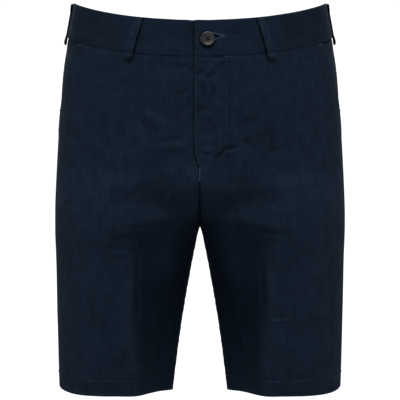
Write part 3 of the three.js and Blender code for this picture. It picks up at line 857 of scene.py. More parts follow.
def linen_material(look):
    """Navy linen: a plain weave of uneven threads, paler along edges with wear and where light is painted
    in, and darker in the weave's hollows and where shade is painted in.
    """
    material, n, shader = new_material("navy_linen", **{
        "Specular IOR Level": 0.06, "Sheen Weight": 0.01, "Sheen Roughness": 0.5,
        "Sheen Tint": (0.45, 0.6, 1.0, 1.0)})
    vector = n.add("ShaderNodeUVMap", {}, uv_map="cloth").outputs[0]
    weave = n.add("ShaderNodeGroup", {}, node_tree=bpy.data.node_groups["plain_weave"])
    n.tree.links.new(vector, weave.inputs["Vector"])
    weave.inputs["Pitch"].default_value = look.thread_pitch
    slubs = n.add("ShaderNodeGroup", {}, node_tree=bpy.data.node_groups["linen_slubs"])
    n.tree.links.new(vector, slubs.inputs["Vector"])
    n.tree.links.new(weave.outputs["Down on top"], slubs.inputs["Down on top"])
    worn = n.add("ShaderNodeAttribute", {}, attribute_name="worn").outputs["Fac"]
    cloth = n.colour(slubs.outputs["Tone"], (*look.dark, 1), (*look.light, 1))
    pale = n.math("MULTIPLY", slubs.outputs["Slub"], 0.38)
    pale = n.math("ADD", pale, n.math("MULTIPLY", slubs.outputs["Speck"], 0.5))
    pale = n.math("ADD", pale, n.math("MULTIPLY", worn, 0.2), clamp=True)
    cloth = n.colour(pale, cloth, (*look.pale, 1))
    # Painted shade: darker in the weave's hollows, and darker where the attribute is below 0.
    hollow = n.math("MULTIPLY_ADD", weave.outputs["Height"], 0.5, 0.62, clamp=True)
    shade = n.math("MULTIPLY_ADD", n.math("MINIMUM", worn, 0.0), 0.8, 1.0, clamp=True)
    cloth = n.colour(n.math("MULTIPLY", hollow, shade), (0, 0, 0, 1), cloth)
    height = n.math("MULTIPLY_ADD", slubs.outputs["Slub"], 0.7, weave.outputs["Height"])
    height = n.math("MULTIPLY_ADD", slubs.outputs["Tone"], 1.2, height)
    bump = n.add("ShaderNodeBump", {"Strength": 0.55, "Distance": 0.00022, "Height": height})
    n.tree.links.new(cloth, shader.inputs["Base Color"])
    roughness = n.math("MULTIPLY_ADD", slubs.outputs["Tone"], -0.12, 0.92)
    n.tree.links.new(roughness, shader.inputs["Roughness"])
    n.tree.links.new(bump.outputs[0], shader.inputs["Normal"])
    return material


def thread_material(name, colour, pale):
    """Sewing thread: twisted strands as slanted waves, with a little change of tone along the seam, and
    paler where the attribute says that it catches the light."""
    material, n, shader = new_material(name, **{"Specular IOR Level": 0.12, "Roughness": 0.6})
    place = n.add("ShaderNodeTexCoord", {}).outputs["Object"]
    inputs = {"Vector": place, "Scale": 900.0, "Distortion": 1.0}
    twist = n.add("ShaderNodeTexWave", inputs, bands_direction="DIAGONAL").outputs["Fac"]
    tone = n.noise(n.scaled(place, (160, 160, 160)), detail=3.0)
    low = tuple(channel * 0.65 for channel in colour)
    high = tuple(channel * 1.35 for channel in colour)
    shade = n.math("MULTIPLY_ADD", tone, 0.75, n.math("MULTIPLY", twist, 0.25))
    caught = n.add("ShaderNodeAttribute", {}, attribute_name="worn").outputs["Fac"]
    strands = n.colour(shade, (*low, 1), (*high, 1))
    n.tree.links.new(n.colour(caught, strands, (*pale, 1)), shader.inputs["Base Color"])
    bump = n.add("ShaderNodeBump", {"Strength": 0.5, "Distance": 0.0001, "Height": twist})
    n.tree.links.new(bump.outputs[0], shader.inputs["Normal"])
    return material


def tape_material(look):
    """Zip tape: narrow ribs woven across a smooth dark tape."""
    material, n, shader = new_material("zip_tape_navy", **{"Specular IOR Level": 0.3})
    vector = n.add("ShaderNodeUVMap", {}, uv_map="cloth").outputs[0]
    parts = n.add("ShaderNodeSeparateXYZ", {0: vector})
    rib = n.math("ABSOLUTE", n.math("SINE", n.math("MULTIPLY", parts.outputs[1], 5200.0)))
    tone = n.noise(n.scaled(vector, (300, 60, 1)))
    shade = n.math("MULTIPLY_ADD", tone, 0.6, n.math("MULTIPLY", rib, 0.4), clamp=True)
    n.tree.links.new(n.colour(shade, (*look.dark, 1), (*look.light, 1)), shader.inputs["Base Color"])
    n.tree.links.new(n.math("MULTIPLY_ADD", tone, 0.2, 0.6), shader.inputs["Roughness"])
    bump = n.add("ShaderNodeBump", {"Strength": 0.5, "Distance": 0.0002, "Height": rib})
    n.tree.links.new(bump.outputs[0], shader.inputs["Normal"])
    return material


def horn_material(look, middle):
    """Dark horn: clouds of grey and brown drawn out along one way, polished, with fine scratches. Painted
    shade makes it darker towards the rim and towards the wearer's right."""
    material, n, shader = new_material("dark_horn", **{
        "Specular IOR Level": 0.42, "Coat Weight": 0.15, "Coat Roughness": 0.18})
    place = n.add("ShaderNodeTexCoord", {}).outputs["Object"]
    from_middle = n.add("ShaderNodeVectorMath", {0: place, 1: middle}, operation="SUBTRACT").outputs[0]
    flat = n.scaled(from_middle, (1, 0, 1))
    radius = n.add("ShaderNodeVectorMath", {0: flat}, operation="LENGTH").outputs["Value"]
    # Painted shade: darker at the rim and on the wearer's right side of the button.
    rim = n.math("MULTIPLY", n.math("SUBTRACT", radius, 0.0058), 420.0, clamp=True)
    aside = n.add("ShaderNodeSeparateXYZ", {0: from_middle}).outputs[0]
    lit = n.math("MULTIPLY_ADD", aside, 75.0, 0.62, clamp=True)
    turned = n.add("ShaderNodeMapping", {"Vector": place, "Rotation": (0, 0.7, 0)}).outputs[0]
    cloud = n.noise(n.scaled(turned, (150, 150, 420)), detail=4.0, roughness=0.6)
    streak = n.noise(n.scaled(turned, (300, 300, 1900)), detail=3.0)
    dark_share = n.math("MULTIPLY", n.math("SUBTRACT", cloud, 0.36), 3.2, clamp=True)
    body = n.colour(dark_share, (*look.horn_dark, 1), (*look.horn_light, 1))
    vein = n.math("MULTIPLY", n.math("SUBTRACT", streak, 0.55), 3.0, clamp=True)
    body = n.colour(vein, body, (*look.horn_vein, 1))
    # Painted shade: the rim is mixed towards near black, and so is the wearer's right side, away from the
    # light.
    body = n.colour(n.math("MULTIPLY", rim, 0.72), body, (0.004, 0.005, 0.008, 1))
    body = n.colour(lit, (0.008, 0.009, 0.012, 1), body)
    n.tree.links.new(body, shader.inputs["Base Color"])
    n.tree.links.new(n.math("MULTIPLY_ADD", streak, 0.22, 0.22), shader.inputs["Roughness"])
    bump = n.add("ShaderNodeBump", {"Strength": 0.15, "Distance": 0.0001, "Height": streak})
    n.tree.links.new(bump.outputs[0], shader.inputs["Normal"])
    return material


def stage_material(look):
    """A pale matt floor with a faint grain, which looks overexposed but throws little light."""
    material, n, shader = new_material("studio_paper", **{
        "Roughness": 0.9, "Specular IOR Level": 0.2, "Emission Color": (1, 1, 1, 1)})
    seen = n.add("ShaderNodeLightPath", {}).outputs["Is Camera Ray"]
    n.tree.links.new(n.math("MULTIPLY", seen, look.floor_glow), shader.inputs["Emission Strength"])
    place = n.add("ShaderNodeTexCoord", {}).outputs["Object"]
    grain = n.noise(n.scaled(place, (6, 6, 6)), detail=4.0)
    paper = n.colour(grain, (0.28, 0.28, 0.28, 1), (0.32, 0.32, 0.32, 1))
    n.tree.links.new(paper, shader.inputs["Base Color"])
    return material


def made_once(name, maker, *values):
    """The material of that name, made the first time that it is asked for."""
    return bpy.data.materials.get(name) or maker(*values)


def linen():
    """The cloth's material."""
    return made_once("navy_linen", linen_material, bpy.context.scene.shorts_cloth)


def thread(name="navy_thread"):
    """The material of the sewing thread or of the button's."""
    sewing = bpy.context.scene.shorts_sewing
    colour = {"navy_thread": sewing.thread_colour, "button_thread": sewing.button_thread_colour}[name]
    return made_once(name, thread_material, name, colour, sewing.pale_thread_colour)


# Stitches

def stitches(paths, length, gap, radius, lift=0.35, sink=0.25):
    """Points and faces of stitches along paths of surface points and normals. Each stitch is a round
    thread of the length that rises from the cloth as a low arch, four times t times one less t, and
    dips into it at both ends, where it is thinner. The next one starts after the gap."""
    sides = 6
    stations = np.linspace(0, 1, 6)
    arch = 4 * stations * (1 - stations)
    centres, outs = [], []
    for points, normals in paths:
        way = running_length(points)
        count = max(int(round(way[-1] / (length + gap))), 1)
        pitch = way[-1] / count
        starts = (np.arange(count) + 0.5) * pitch - length / 2
        at = starts[:, None] + stations * length
        centres.append(sampled(at, way, points))
        outs.append(unit(sampled(at, way, normals)))
    out = np.concatenate(outs)
    centre = np.concatenate(centres) + out * (lift * arch - sink * (1 - arch))[:, None]
    ahead = unit(np.gradient(centre, axis=1))
    side = unit(np.cross(ahead, out))
    up = np.cross(side, ahead)
    turn = np.linspace(0, 2 * np.pi, sides, endpoint=False)
    thick = radius * (0.65 + 0.35 * arch)[:, None, None]
    ring = side[:, :, None] * np.cos(turn)[:, None] + up[:, :, None] * np.sin(turn)[:, None]
    return tube_faces(centre[:, :, None] + ring * thick)


def sampled(at, way, values):
    """The points or directions of a path at lengths along it, on straight lines between its own."""
    return np.stack([np.interp(at, way, values[:, k]) for k in range(3)], axis=-1)


def tube_faces(rings):
    """Points and faces of closed tubes from an array of tubes, stations and ring points: four-sided
    faces between the rings and one flat face on each end."""
    tubes, stations, sides = rings.shape[:3]
    index = np.arange(tubes * stations * sides).reshape(tubes, stations, sides)
    near = index[:, :-1]
    far = index[:, 1:]
    around = np.stack([near, np.roll(near, -1, axis=2), np.roll(far, -1, axis=2), far], axis=-1)
    caps = np.concatenate([index[:, 0, ::-1], index[:, -1]])
    return rings.reshape(-1, 3), [around.reshape(-1, 4), caps]


def surface_path(half, angle, level, offset):
    """Points and normals of a line on the cloth."""
    grids = np.broadcast_arrays(angle, level, offset)
    angle, level, offset = (np.atleast_1d(grid).astype(float) for grid in grids)
    normals = form_normal(angle, row_height(level, angle))
    normals[:, 0] *= half
    return cloth_point(half, angle, level, offset), normals


def straight_path(start, end, normal, count=12):
    """A straight line of points between two points, with one normal."""
    share = np.linspace(0, 1, count)[:, None]
    return mix(start, end, share), np.tile(normal, (count, 1))


def bar_tack(path, width, radius=0.34, pitch=0.62):
    """A bar tack's stitch paths and thread radius: thread laid close together across a short path, the
    path's length by the width."""
    points, normals = path
    way = running_length(points)
    count = max(int(way[-1] / pitch), 2)
    at = np.linspace(0, way[-1], count)
    middle = sampled(at, way, points)
    out = unit(sampled(at, way, normals))
    side = unit(np.cross(unit(np.gradient(middle, axis=0)), out)) * width / 2
    return [straight_path(m - s, m + s, o, 7) for m, s, o in zip(middle, side, out)], radius


def add_stitches(name, groups, material_name="navy_thread"):
    """One object from several groups of stitches, each given as points, faces and how pale they are, as
    a share or as a function of the points."""
    points, faces, shares, start = [], [], [], 0
    for group_points, group_faces, pale in groups:
        share = pale(*group_points.T) if callable(pale) else pale
        shares.append(np.broadcast_to(share, len(group_points)))
        points.append(group_points)
        faces += [f + start for f in group_faces]
        start += len(group_points)
    by_size = {}
    for f in faces:
        by_size.setdefault(f.shape[1], []).append(f)
    joined = [np.concatenate(same) for same in by_size.values()]
    points, worn = np.concatenate(points), np.concatenate(shares)
    return make_piece(name, points, joined, thread(material_name), worn=worn)


# Properties

class ClothLook(bpy.types.PropertyGroup):
    """Colours and thread size of the linen."""
    dark: bpy.props.FloatVectorProperty(
        name="Dark thread", description="Colour of the darkest threads",
        subtype="COLOR", size=3, min=0, max=1, default=(0.0032, 0.0078, 0.0164))
    light: bpy.props.FloatVectorProperty(
        name="Light thread", description="Colour of the lightest threads",
        subtype="COLOR", size=3, min=0, max=1, default=(0.0096, 0.0210, 0.0412))
    # This pale colour also serves as painted light where fold crests, the fork and the belt loops are
    # made paler.
    pale: bpy.props.FloatVectorProperty(
        name="Rubbed thread", description="Colour of slubs, specks and rubbed edges",
        subtype="COLOR", size=3, min=0, max=1, default=(0.027, 0.050, 0.085))
    thread_pitch: bpy.props.FloatProperty(
        name="Thread pitch", description="Distance between neighbouring threads",
        subtype="DISTANCE", unit="LENGTH", default=0.00062, min=0.0002, precision=5)


class SewingLook(bpy.types.PropertyGroup):
    """Sizes and colours of the sewing thread."""
    stitch_length: bpy.props.FloatProperty(
        name="Stitch length", description="Length of one topstitch",
        subtype="DISTANCE", unit="LENGTH", default=0.0024, min=0.001, precision=4)
    stitch_gap: bpy.props.FloatProperty(
        name="Stitch gap", description="Gap between one topstitch and the next",
        subtype="DISTANCE", unit="LENGTH", default=0.0009, min=0.0002, precision=4)
    thread_radius: bpy.props.FloatProperty(
        name="Thread radius", description="Half the thickness of the thread",
        subtype="DISTANCE", unit="LENGTH", default=0.00030, min=0.0001, precision=5)
    thread_colour: bpy.props.FloatVectorProperty(
        name="Thread", description="Colour of the sewing thread",
        subtype="COLOR", size=3, min=0, max=1, default=(0.012, 0.022, 0.040))
    pale_thread_colour: bpy.props.FloatVectorProperty(
        name="Pale thread", description="Colour of the sewing thread where it catches the light",
        subtype="COLOR", size=3, min=0, max=1, default=(0.045, 0.075, 0.125))
    button_thread_colour: bpy.props.FloatVectorProperty(
        name="Button thread", description="Colour of the thread that holds the button",
        subtype="COLOR", size=3, min=0, max=1, default=(0.006, 0.008, 0.012))


class ButtonLook(bpy.types.PropertyGroup):
    """Sizes and colours of the horn button."""
    radius: bpy.props.FloatProperty(
        name="Radius", description="Half the width of the button",
        subtype="DISTANCE", unit="LENGTH", default=0.0092, min=0.005, precision=4)
    thickness: bpy.props.FloatProperty(
        name="Thickness", description="Height of the rim above the cloth side",
        subtype="DISTANCE", unit="LENGTH", default=0.0034, min=0.001, precision=4)
    horn_dark: bpy.props.FloatVectorProperty(
        name="Dark horn", description="Colour of the dark clouds",
        subtype="COLOR", size=3, min=0, max=1, default=(0.018, 0.017, 0.019))
    horn_light: bpy.props.FloatVectorProperty(
        name="Light horn", description="Colour of the light clouds",
        subtype="COLOR", size=3, min=0, max=1, default=(0.060, 0.056, 0.060))
    horn_vein: bpy.props.FloatVectorProperty(
        name="Veins", description="Colour of the thin veins",
        subtype="COLOR", size=3, min=0, max=1, default=(0.105, 0.092, 0.088))


class StageLook(bpy.types.PropertyGroup):
    """Sizes and strengths of the studio."""
    floor_height: bpy.props.FloatProperty(
        name="Floor height", description="Height of the floor, below the waist",
        subtype="DISTANCE", unit="LENGTH", default=-1.05, precision=3)
    floor_radius: bpy.props.FloatProperty(
        name="Floor radius", description="Half the width of the floor, up to its curved rim",
        subtype="DISTANCE", unit="LENGTH", default=5.0, min=3.5, precision=2)
    floor_glow: bpy.props.FloatProperty(
        name="Floor glow", description="How bright the floor looks by itself", default=0.9, min=0)
    key_light: bpy.props.FloatProperty(
        name="Key light", description="Power of the light high above the camera",
        subtype="POWER", default=710.0, min=0)
    side_light: bpy.props.FloatProperty(
        name="Side lights", description="Power of each side light",
        subtype="POWER", default=24.0, min=0)
    low_light: bpy.props.FloatProperty(
        name="Low light", description="Power of the light below the camera",
        subtype="POWER", default=21.0, min=0)
    rear_light: bpy.props.FloatProperty(
        name="Rear lights", description="Power of each light behind the shorts",
        subtype="POWER", default=48.0, min=0)
    sky: bpy.props.FloatProperty(
        name="Sky", description="Strength of the light from above", default=0.08, min=0)


# Operators

HALVES = {"left": 1, "right": -1}


def panel_thickness(level):
    """Single cloth, and doubled where the hem is turned up inside."""
    return mix(HEM_CLOTH, PANEL_CLOTH, smooth((level - HEM_FOLD + 1) / 2))


def above_fork(level):
    """1 down a column of rows as far as the fork, and 0 from a little below it."""
    return smooth((level - FORK + 10) / 10)[:, None]


def painted_fork_light(x, level):
    """Painted light beside the fork, which makes the shaded cloth paler: a narrow bell that moves out
    down each inner leg, and a wide one over the front of each thigh, each faded in at its top and out at
    its low end."""
    total = 0
    for share, place, drift, width, top, fade_in, fade_out in FORK_PAINTED_LIGHT:
        middle = place + drift * np.maximum(FORK_PAINTED_LIGHT_DRIFTS_AT - level, 0)
        bell = np.exp(-((np.abs(x) - middle) / width) ** 2)
        faded = smooth((top - level) / fade_in) * smooth((level - FORK_PAINTED_LIGHT_END) / fade_out)
        total = total + share * bell * faded
    return total


def side_shade(x):
    """The waistband is a little darker outside its front loops, up to the side."""
    across = np.abs(x)
    rise = smooth((across - SIDE_SHADE_FROM) / SIDE_SHADE_RISE)
    return SIDE_SHADE * rise * smooth((SIDE_SHADE_TO - across) / SIDE_SHADE_FALL)


def button_shade(half, x, level):
    """The shade that the button throws all round itself: a bell of the distance to its rim."""
    if half < 0:
        return 0
    to_rim = np.hypot(x - BUTTON_ACROSS, level - BUTTON_LEVEL) - BUTTON_SHADE_RADIUS
    return BUTTON_SHADE * np.exp(-(to_rim / BUTTON_SHADE_WIDTH) ** 2)


def lap_shade(half, x, level, width):
    """The shade beside the lap on the right half: a bell of the distance past the lap's edge."""
    if half > 0:
        return 0
    past = np.maximum(front_edge(1, level) - x, 0)
    return LAP_SHADE * np.exp(-(past / width) ** 2)


class SHORTS_OT_fronts(bpy.types.Operator):
    """Adds the two fronts, with the pocket mouths cut away and the left one lapping over the fly"""
    bl_idname = "shorts.fronts"
    bl_label = "Fronts"

    def execute(self, context):
        for side, half in HALVES.items():
            def edges(level, half=half):
                share = np.clip((level - MOUTH_TIP + MOUTH_CORNER) / MOUTH_CORNER, 0, 1)
                start = mix(SIDE_SEAM_ANGLE, mouth_angle(level), share)
                return start, angle_at(front_edge(half, level), level, True)

            def outer(x, level, angle, half=half):
                return lap_offset(half, x, level)

            # Painted shade beside the lap, less the painted light beside the fork.
            def shade(x, level, half=half):
                return lap_shade(half, x, level, LAP_SHADE_ON_FRONT) - painted_fork_light(x, level)

            level = PANEL_TOP - stops_between(PANEL_TOP - HEM, FRONT_STEP, PANEL_CLOTH / 2)
            seamed = smooth((MOUTH_TIP - level) / MOUTH_CORNER)[:, None]
            centred = smooth((FLY_END - level) / FLY_CORNER)[:, None]
            free = 1 - seamed
            piece = cloth_sheet(
                f"front_{side}_cloth", half, PANEL_TOP, HEM, edges, outer, panel_thickness,
                (FRONT_STEP, FRONT_STEP), linen(), slot="linen", grain_x=PANEL_GRAIN,
                sewn=(seamed, centred, 1, 0), worn=(0.35 * free, 0.7 * (1 - centred), 0, 0.8),
                seam_top=WAIST_SEAM, meets_middle=centred * above_fork(level),
                shade=shade, crest_wear=CREST_WEAR_AND_SHADE, shift=(0, 0) if half > 0 else (900, 400))
            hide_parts(f"front_{side}")
        return {"FINISHED"}


class SHORTS_OT_backs(bpy.types.Operator):
    """Adds the two backs"""
    bl_idname = "shorts.backs"
    bl_label = "Backs"

    def execute(self, context):
        for side, half in HALVES.items():
            def edges(level):
                return SIDE_SEAM_ANGLE + 0 * level, angle_at(leg_gap(level), level, False)

            level = PANEL_TOP - stops_between(PANEL_TOP - HEM, BACK_STEP, PANEL_CLOTH / 2)
            piece = cloth_sheet(
                f"back_{side}_cloth", half, PANEL_TOP, HEM, edges, lambda x, level, angle: 0 * x,
                panel_thickness, (BACK_STEP, BACK_STEP), linen(), slot="linen", grain_x=PANEL_GRAIN,
                sewn=(1, 1, 1, 0), worn=(0, 0, 0, 0.8), seam_top=WAIST_SEAM,
                meets_middle=above_fork(level), crest_wear=CREST_WEAR_AND_SHADE, shift=(1800, 700 + 500 * half))
            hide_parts(f"back_{side}")
        return {"FINISHED"}


class SHORTS_OT_pocket_facings(bpy.types.Operator):
    """Adds the cloth that shows behind each slanted pocket mouth"""
    bl_idname = "shorts.pocket_facings"
    bl_label = "Pocket Facings"

    def execute(self, context):
        def edges(level):
            return SIDE_SEAM_ANGLE + 0 * level, mouth_angle(level) + FACING_UNDER_FRONT

        def outer(x, level, angle):
            share = (angle - SIDE_SEAM_ANGLE) / (mouth_angle(level) - SIDE_SEAM_ANGLE)
            return -FACING_INSET * smooth(share)

        for side, half in HALVES.items():
            piece = cloth_sheet(
                f"pocket_facing_{side}_cloth", half, PANEL_TOP, MOUTH_TIP + 0.5, edges, outer,
                STRIP_CLOTH, (STRIP_STEP, STRIP_STEP), linen(), slot="linen", grain_x=FACING_GRAIN,
                sewn=(1, 0, 1, 0), seam_top=WAIST_SEAM, shift=(2600, 300 * half))
            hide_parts(f"pocket_facing_{side}")
        return {"FINISHED"}


class SHORTS_OT_waistband(bpy.types.Operator):
    """Adds the two halves of the waistband, with the buttonhole drawn into the left one"""
    bl_idname = "shorts.waistband"
    bl_label = "Waistband"

    def execute(self, context):
        for side, half in HALVES.items():
            end_x = FLY_EDGE if half > 0 else -BAND_UNDERLAP

            def edges(level, end_x=end_x):
                start = angle_at(0.0, level, False)
                return start, angle_at(end_x, level, True)

            def outer(x, level, angle, half=half):
                raised = np.where(angle > 0, band_lap(half, x), 0)
                return BAND_PROUD + raised - (slot_depth(x, level, angle) if half > 0 else 0)

            def shade(x, level, half=half):
                beside_lap = lap_shade(half, x, level, LAP_SHADE_ON_BAND)
                return side_shade(x) + beside_lap + button_shade(half, x, level)

            piece = cloth_sheet(
                f"waistband_{side}_cloth", half, WAIST_TOP, WAIST_SEAM, edges, outer, BAND_CLOTH,
                (BAND_STEP, BAND_COLUMN_STEP), linen(), slot="linen",
                sewn=(0.6, 0, 0, 0.35), worn=(0, 0.2, 0.5, 0), shift=(500 * half, 3500), shade=shade)
            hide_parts(f"waistband_{side}")
        return {"FINISHED"}


def slot_half_width(x):
    """Half the width of the pulled buttonhole: widest under the button and closing in a straight line
    to its outer end."""
    share = np.clip((SLOT_TO - x) / (SLOT_TO - SLOT_FROM), 0, 1)
    return SLOT_OPEN * smooth(share * 1.4) * np.clip((x - SLOT_FROM + SLOT_END) / SLOT_END, 0, 1)


def slot_depth(x, level, angle):
    """The buttonhole's hollow: a steep dip inside its half width."""
    inside = smooth((slot_half_width(x) - np.abs(level - SLOT_LEVEL)) / SLOT_WALL + 0.2)
    return np.where(angle > 0, SLOT_DEPTH, 0) * inside * (x > SLOT_FROM - SLOT_END)


class SHORTS_OT_belt_loops(bpy.types.Operator):
    """Adds the five belt loops"""
    bl_idname = "shorts.belt_loops"
    bl_label = "Belt Loops"

    def execute(self, context):
        for name, (half, top_angle, bottom_angle, stands_off) in LOOPS.items():
            points, uv, worn = belt_loop(half, top_angle, bottom_angle, stands_off)
            points, faces = tube_faces(points[None])
            piece = make_piece(f"{name}_cloth", points, faces, linen(), uv, worn)
            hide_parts(name)
        return {"FINISHED"}


def loop_wear_and_painted_light(across, level):
    """How pale a belt loop is, partly with wear and partly with painted light: sums of waves along and
    across it and its pale top end, less a painted shadow, a dark line down the edge that is nearer to the
    garment's middle."""
    waves = 0.35 * np.sin(level / 2.3 + np.sin(across / 1.1)) + 0.25 * np.sin(level / 5.1 + across / 2.0)
    top = smooth((level - WAIST_TOP + LOOP_BELOW_TOP + 1.8) / 1.5)
    return 0.5 + waves + 1.6 * top - 2.0 * np.exp(-((across - LOOP_WIDTH / 2) / 1.1) ** 2)


def loop_frame(half, top_angle, bottom_angle, stands_off, down):
    """Along a belt loop: its level, its middle angle, how fast x changes with the angle, and how far its
    inner face stands off the form. Both ends lie on the band and the middle stands clear of it."""
    level = WAIST_TOP - LOOP_BELOW_TOP - down
    middle = mix(top_angle, bottom_angle, down / LOOP_LENGTH)
    height = row_height(level, middle)
    step = form_point(middle + NORMAL_STEP, height) - form_point(middle, height)
    rate = np.linalg.norm(step, axis=-1) / NORMAL_STEP
    from_end = np.minimum(down, LOOP_LENGTH - down)
    risen = smooth((from_end - LOOP_END) / LOOP_RISE)
    under = BAND_PROUD + SEAM_GAP + stands_off * risen
    return level, middle, rate, under, LOOP_CLOTH * (2 - risen)


def belt_loop(half, top_angle, bottom_angle, stands_off):
    """A strip with round edges: at each station down the loop, a ring whose half width and half
    thickness follow a flattened circle, the cosine and the sine to a small power."""
    edge = rounded_steps(LOOP_ROUNDING)
    straight = np.linspace(LOOP_ROUNDING, LOOP_LENGTH - LOOP_ROUNDING, LOOP_STATIONS)[1:-1]
    down = np.concatenate([edge, straight, LOOP_LENGTH - edge[::-1]])
    level, middle, rate, under, thick = loop_frame(half, top_angle, bottom_angle, stands_off, down)
    to_end = np.clip(np.minimum(down, LOOP_LENGTH - down) / LOOP_ROUNDING, 0, 0.999)
    closing = np.sqrt(1 - (1 - to_end) ** 2)
    turn = np.linspace(0, 2 * np.pi, LOOP_RING_POINTS, endpoint=False)
    across, bulge = (
        np.sign(circle) * np.abs(circle) ** power
        for circle, power in zip((np.cos(turn), np.sin(turn)), LOOP_SQUARENESS))
    across = across * LOOP_WIDTH / 2
    seam = LOOP_SEAM_DEPTH * np.exp(-((np.abs(across) - LOOP_STITCH_ACROSS) / LOOP_SEAM_WIDTH) ** 2)
    half_thick = (thick * closing / 2)[:, None]
    out = (under + thick / 2)[:, None] + half_thick * bulge - seam * (bulge > 0)
    angle = middle[:, None] + across / rate[:, None]
    level = np.broadcast_to(level[:, None], angle.shape)
    points = cloth_point(half, angle, level, out)
    uv = np.stack(np.broadcast_arrays(across + 7100 + 90 * half, level + 5 * stands_off), axis=-1)
    return points, uv.reshape(-1, 2), loop_wear_and_painted_light(across, level).ravel()


class SHORTS_OT_fly_parts(bpy.types.Operator):
    """Adds the zip's tape and teeth and the shield behind them"""
    bl_idname = "shorts.fly_parts"
    bl_label = "Zip and Fly Shield"

    def execute(self, context):
        cloth = context.scene.shorts_cloth
        tape = made_once("zip_tape_navy", tape_material, cloth)
        strips = (
            ("fly_shield", SHIELD_FROM, SHIELD_TO, FLY_END, SHIELD_DEPTH, 1.4, linen(), "linen"),
            ("zip", ZIP_FROM, ZIP_TO, ZIP_BOTTOM, ZIP_DEPTH, 0.9, tape, "zip_tape"),
        )
        for node, from_x, to_x, bottom, depth, thickness, material, slot in strips:
            def edges(level, from_x=from_x, to_x=to_x):
                return angle_at(to_x, level, True), angle_at(from_x, level, True)

            def outer(x, level, angle, depth=depth):
                return 0 * x - depth

            piece = cloth_sheet(
                f"{node}_cloth", 1, PANEL_TOP, bottom, edges, outer, thickness,
                (STRIP_STEP, STRIP_STEP), material, slot=slot, grain_x=FLY_GRAIN, shift=(4400, 0))
            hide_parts(node)
        points, faces = zip_teeth()
        make_piece("zip_teeth", points, faces, tape, uv=points[:, [0, 2]])
        return {"FINISHED"}


def zip_teeth():
    """The zip's coil: short round bars across the tape's middle, one after another down the fly."""
    count = int((WAIST_SEAM - ZIP_BOTTOM - 6) / COIL_PITCH)
    level = WAIST_SEAM - 3 - COIL_PITCH * np.arange(count)
    x = COIL_MIDDLE + np.linspace(-COIL_HALF_LENGTH, COIL_HALF_LENGTH, 6)
    level = np.broadcast_to(level[:, None], (count, len(x)))
    angle = angle_at(np.broadcast_to(x, level.shape), level, True)
    arch = 1 - np.linspace(-1, 1, len(x)) ** 2
    centre = cloth_point(1, angle, level, -ZIP_DEPTH - 1.05 - 0.1 * arch)
    turn = np.linspace(0, 2 * np.pi, 6, endpoint=False)
    up = np.array((0, 0, 1.0))
    out = form_normal(angle, row_height(level, angle))
    flat = out[:, :, None] * COIL_FLATNESS * np.sin(turn)[:, None]
    ring = COIL_RADIUS * (up * np.cos(turn)[:, None] + flat)
    return tube_faces(centre[:, :, None] + ring)


def button_frame():
    """The button's middle on its cloth side, and its directions across, up and out."""
    angle = angle_at(BUTTON_ACROSS, BUTTON_LEVEL, True)
    out = form_normal(angle, row_height(BUTTON_LEVEL, angle))
    middle = cloth_point(1, angle, np.float64(BUTTON_LEVEL), np.float64(BUTTON_OFF))
    across = unit(np.cross(np.array((0, 0, 1.0)), out))
    return middle, across, np.cross(out, across), out


class SHORTS_OT_button(bpy.types.Operator):
    """Adds the horn button and the thread that holds it"""
    bl_idname = "shorts.button"
    bl_label = "Button"

    def execute(self, context):
        look = context.scene.shorts_button
        middle = tuple(button_frame()[0] * MM)
        material = made_once("dark_horn", horn_material, look, middle)
        points, faces = button_disc(look.radius / MM, look.thickness / MM)
        piece = make_piece("waist_button", points, faces, material)
        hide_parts("button")
        add_stitches("button_thread", [(*button_thread(), 0)], "button_thread")
        return {"FINISHED"}


def button_disc(radius, top):
    """A turned disc: a smooth profile of radius and height, carried once round, whose dished middle has
    four round pits. Each pit is a steep dip inside its radius."""
    dish = 0.67 * radius
    profile = np.array([
        (0.02, 0), (0.5 * radius, 0), (radius - 2.2, 0), (radius - 0.8, 0.5), (radius - 0.15, 1.2),
        (radius, 1.8), (radius - 0.15, 2.5), (radius - 0.7, top - 0.2), (radius - 1.4, top),
        (radius - 2.2, top - 0.1), (dish + 0.3, top - 0.45), (dish - 0.25, top - 1.1),
        (dish - 0.9, top - 1.25), (0.3 * radius, top - 1.35), (0.02, top - 1.38)])
    knots = running_length(profile)
    fine = np.concatenate([np.linspace(0, knots[12], 60)[:-1], np.linspace(knots[12], knots[-1], 62)])
    rim = np.stack([smooth_curve(fine, knots, profile[:, k]) for k in range(2)], axis=-1)
    turn = np.linspace(0, 2 * np.pi, 144, endpoint=False)
    u = rim[:, :1] * np.cos(turn)
    v = rim[:, :1] * np.sin(turn)
    height = np.repeat(rim[:, 1:], len(turn), axis=1)
    half = BUTTON_HOLE_SPACING / 2
    to_hole = np.hypot(np.abs(u) - half, np.abs(v) - half)
    upper = (np.arange(len(fine)) > 60)[:, None]
    pit = smooth((BUTTON_HOLE_RADIUS - to_hole) / BUTTON_PIT_WALL + 0.5)
    height = height - upper * BUTTON_PIT_DEPTH * pit
    middle, across, up, out = button_frame()
    points = middle + u[..., None] * across + v[..., None] * up + height[..., None] * out
    return tube_faces(points[None])


def smooth_curve(at, knots, values):
    """Values between knots on a curve without overshoot: straight lines, averaged over a short window."""
    window = np.linspace(-0.35, 0.35, 7)
    return np.mean([np.interp(at + w, knots, values) for w in window], axis=0)


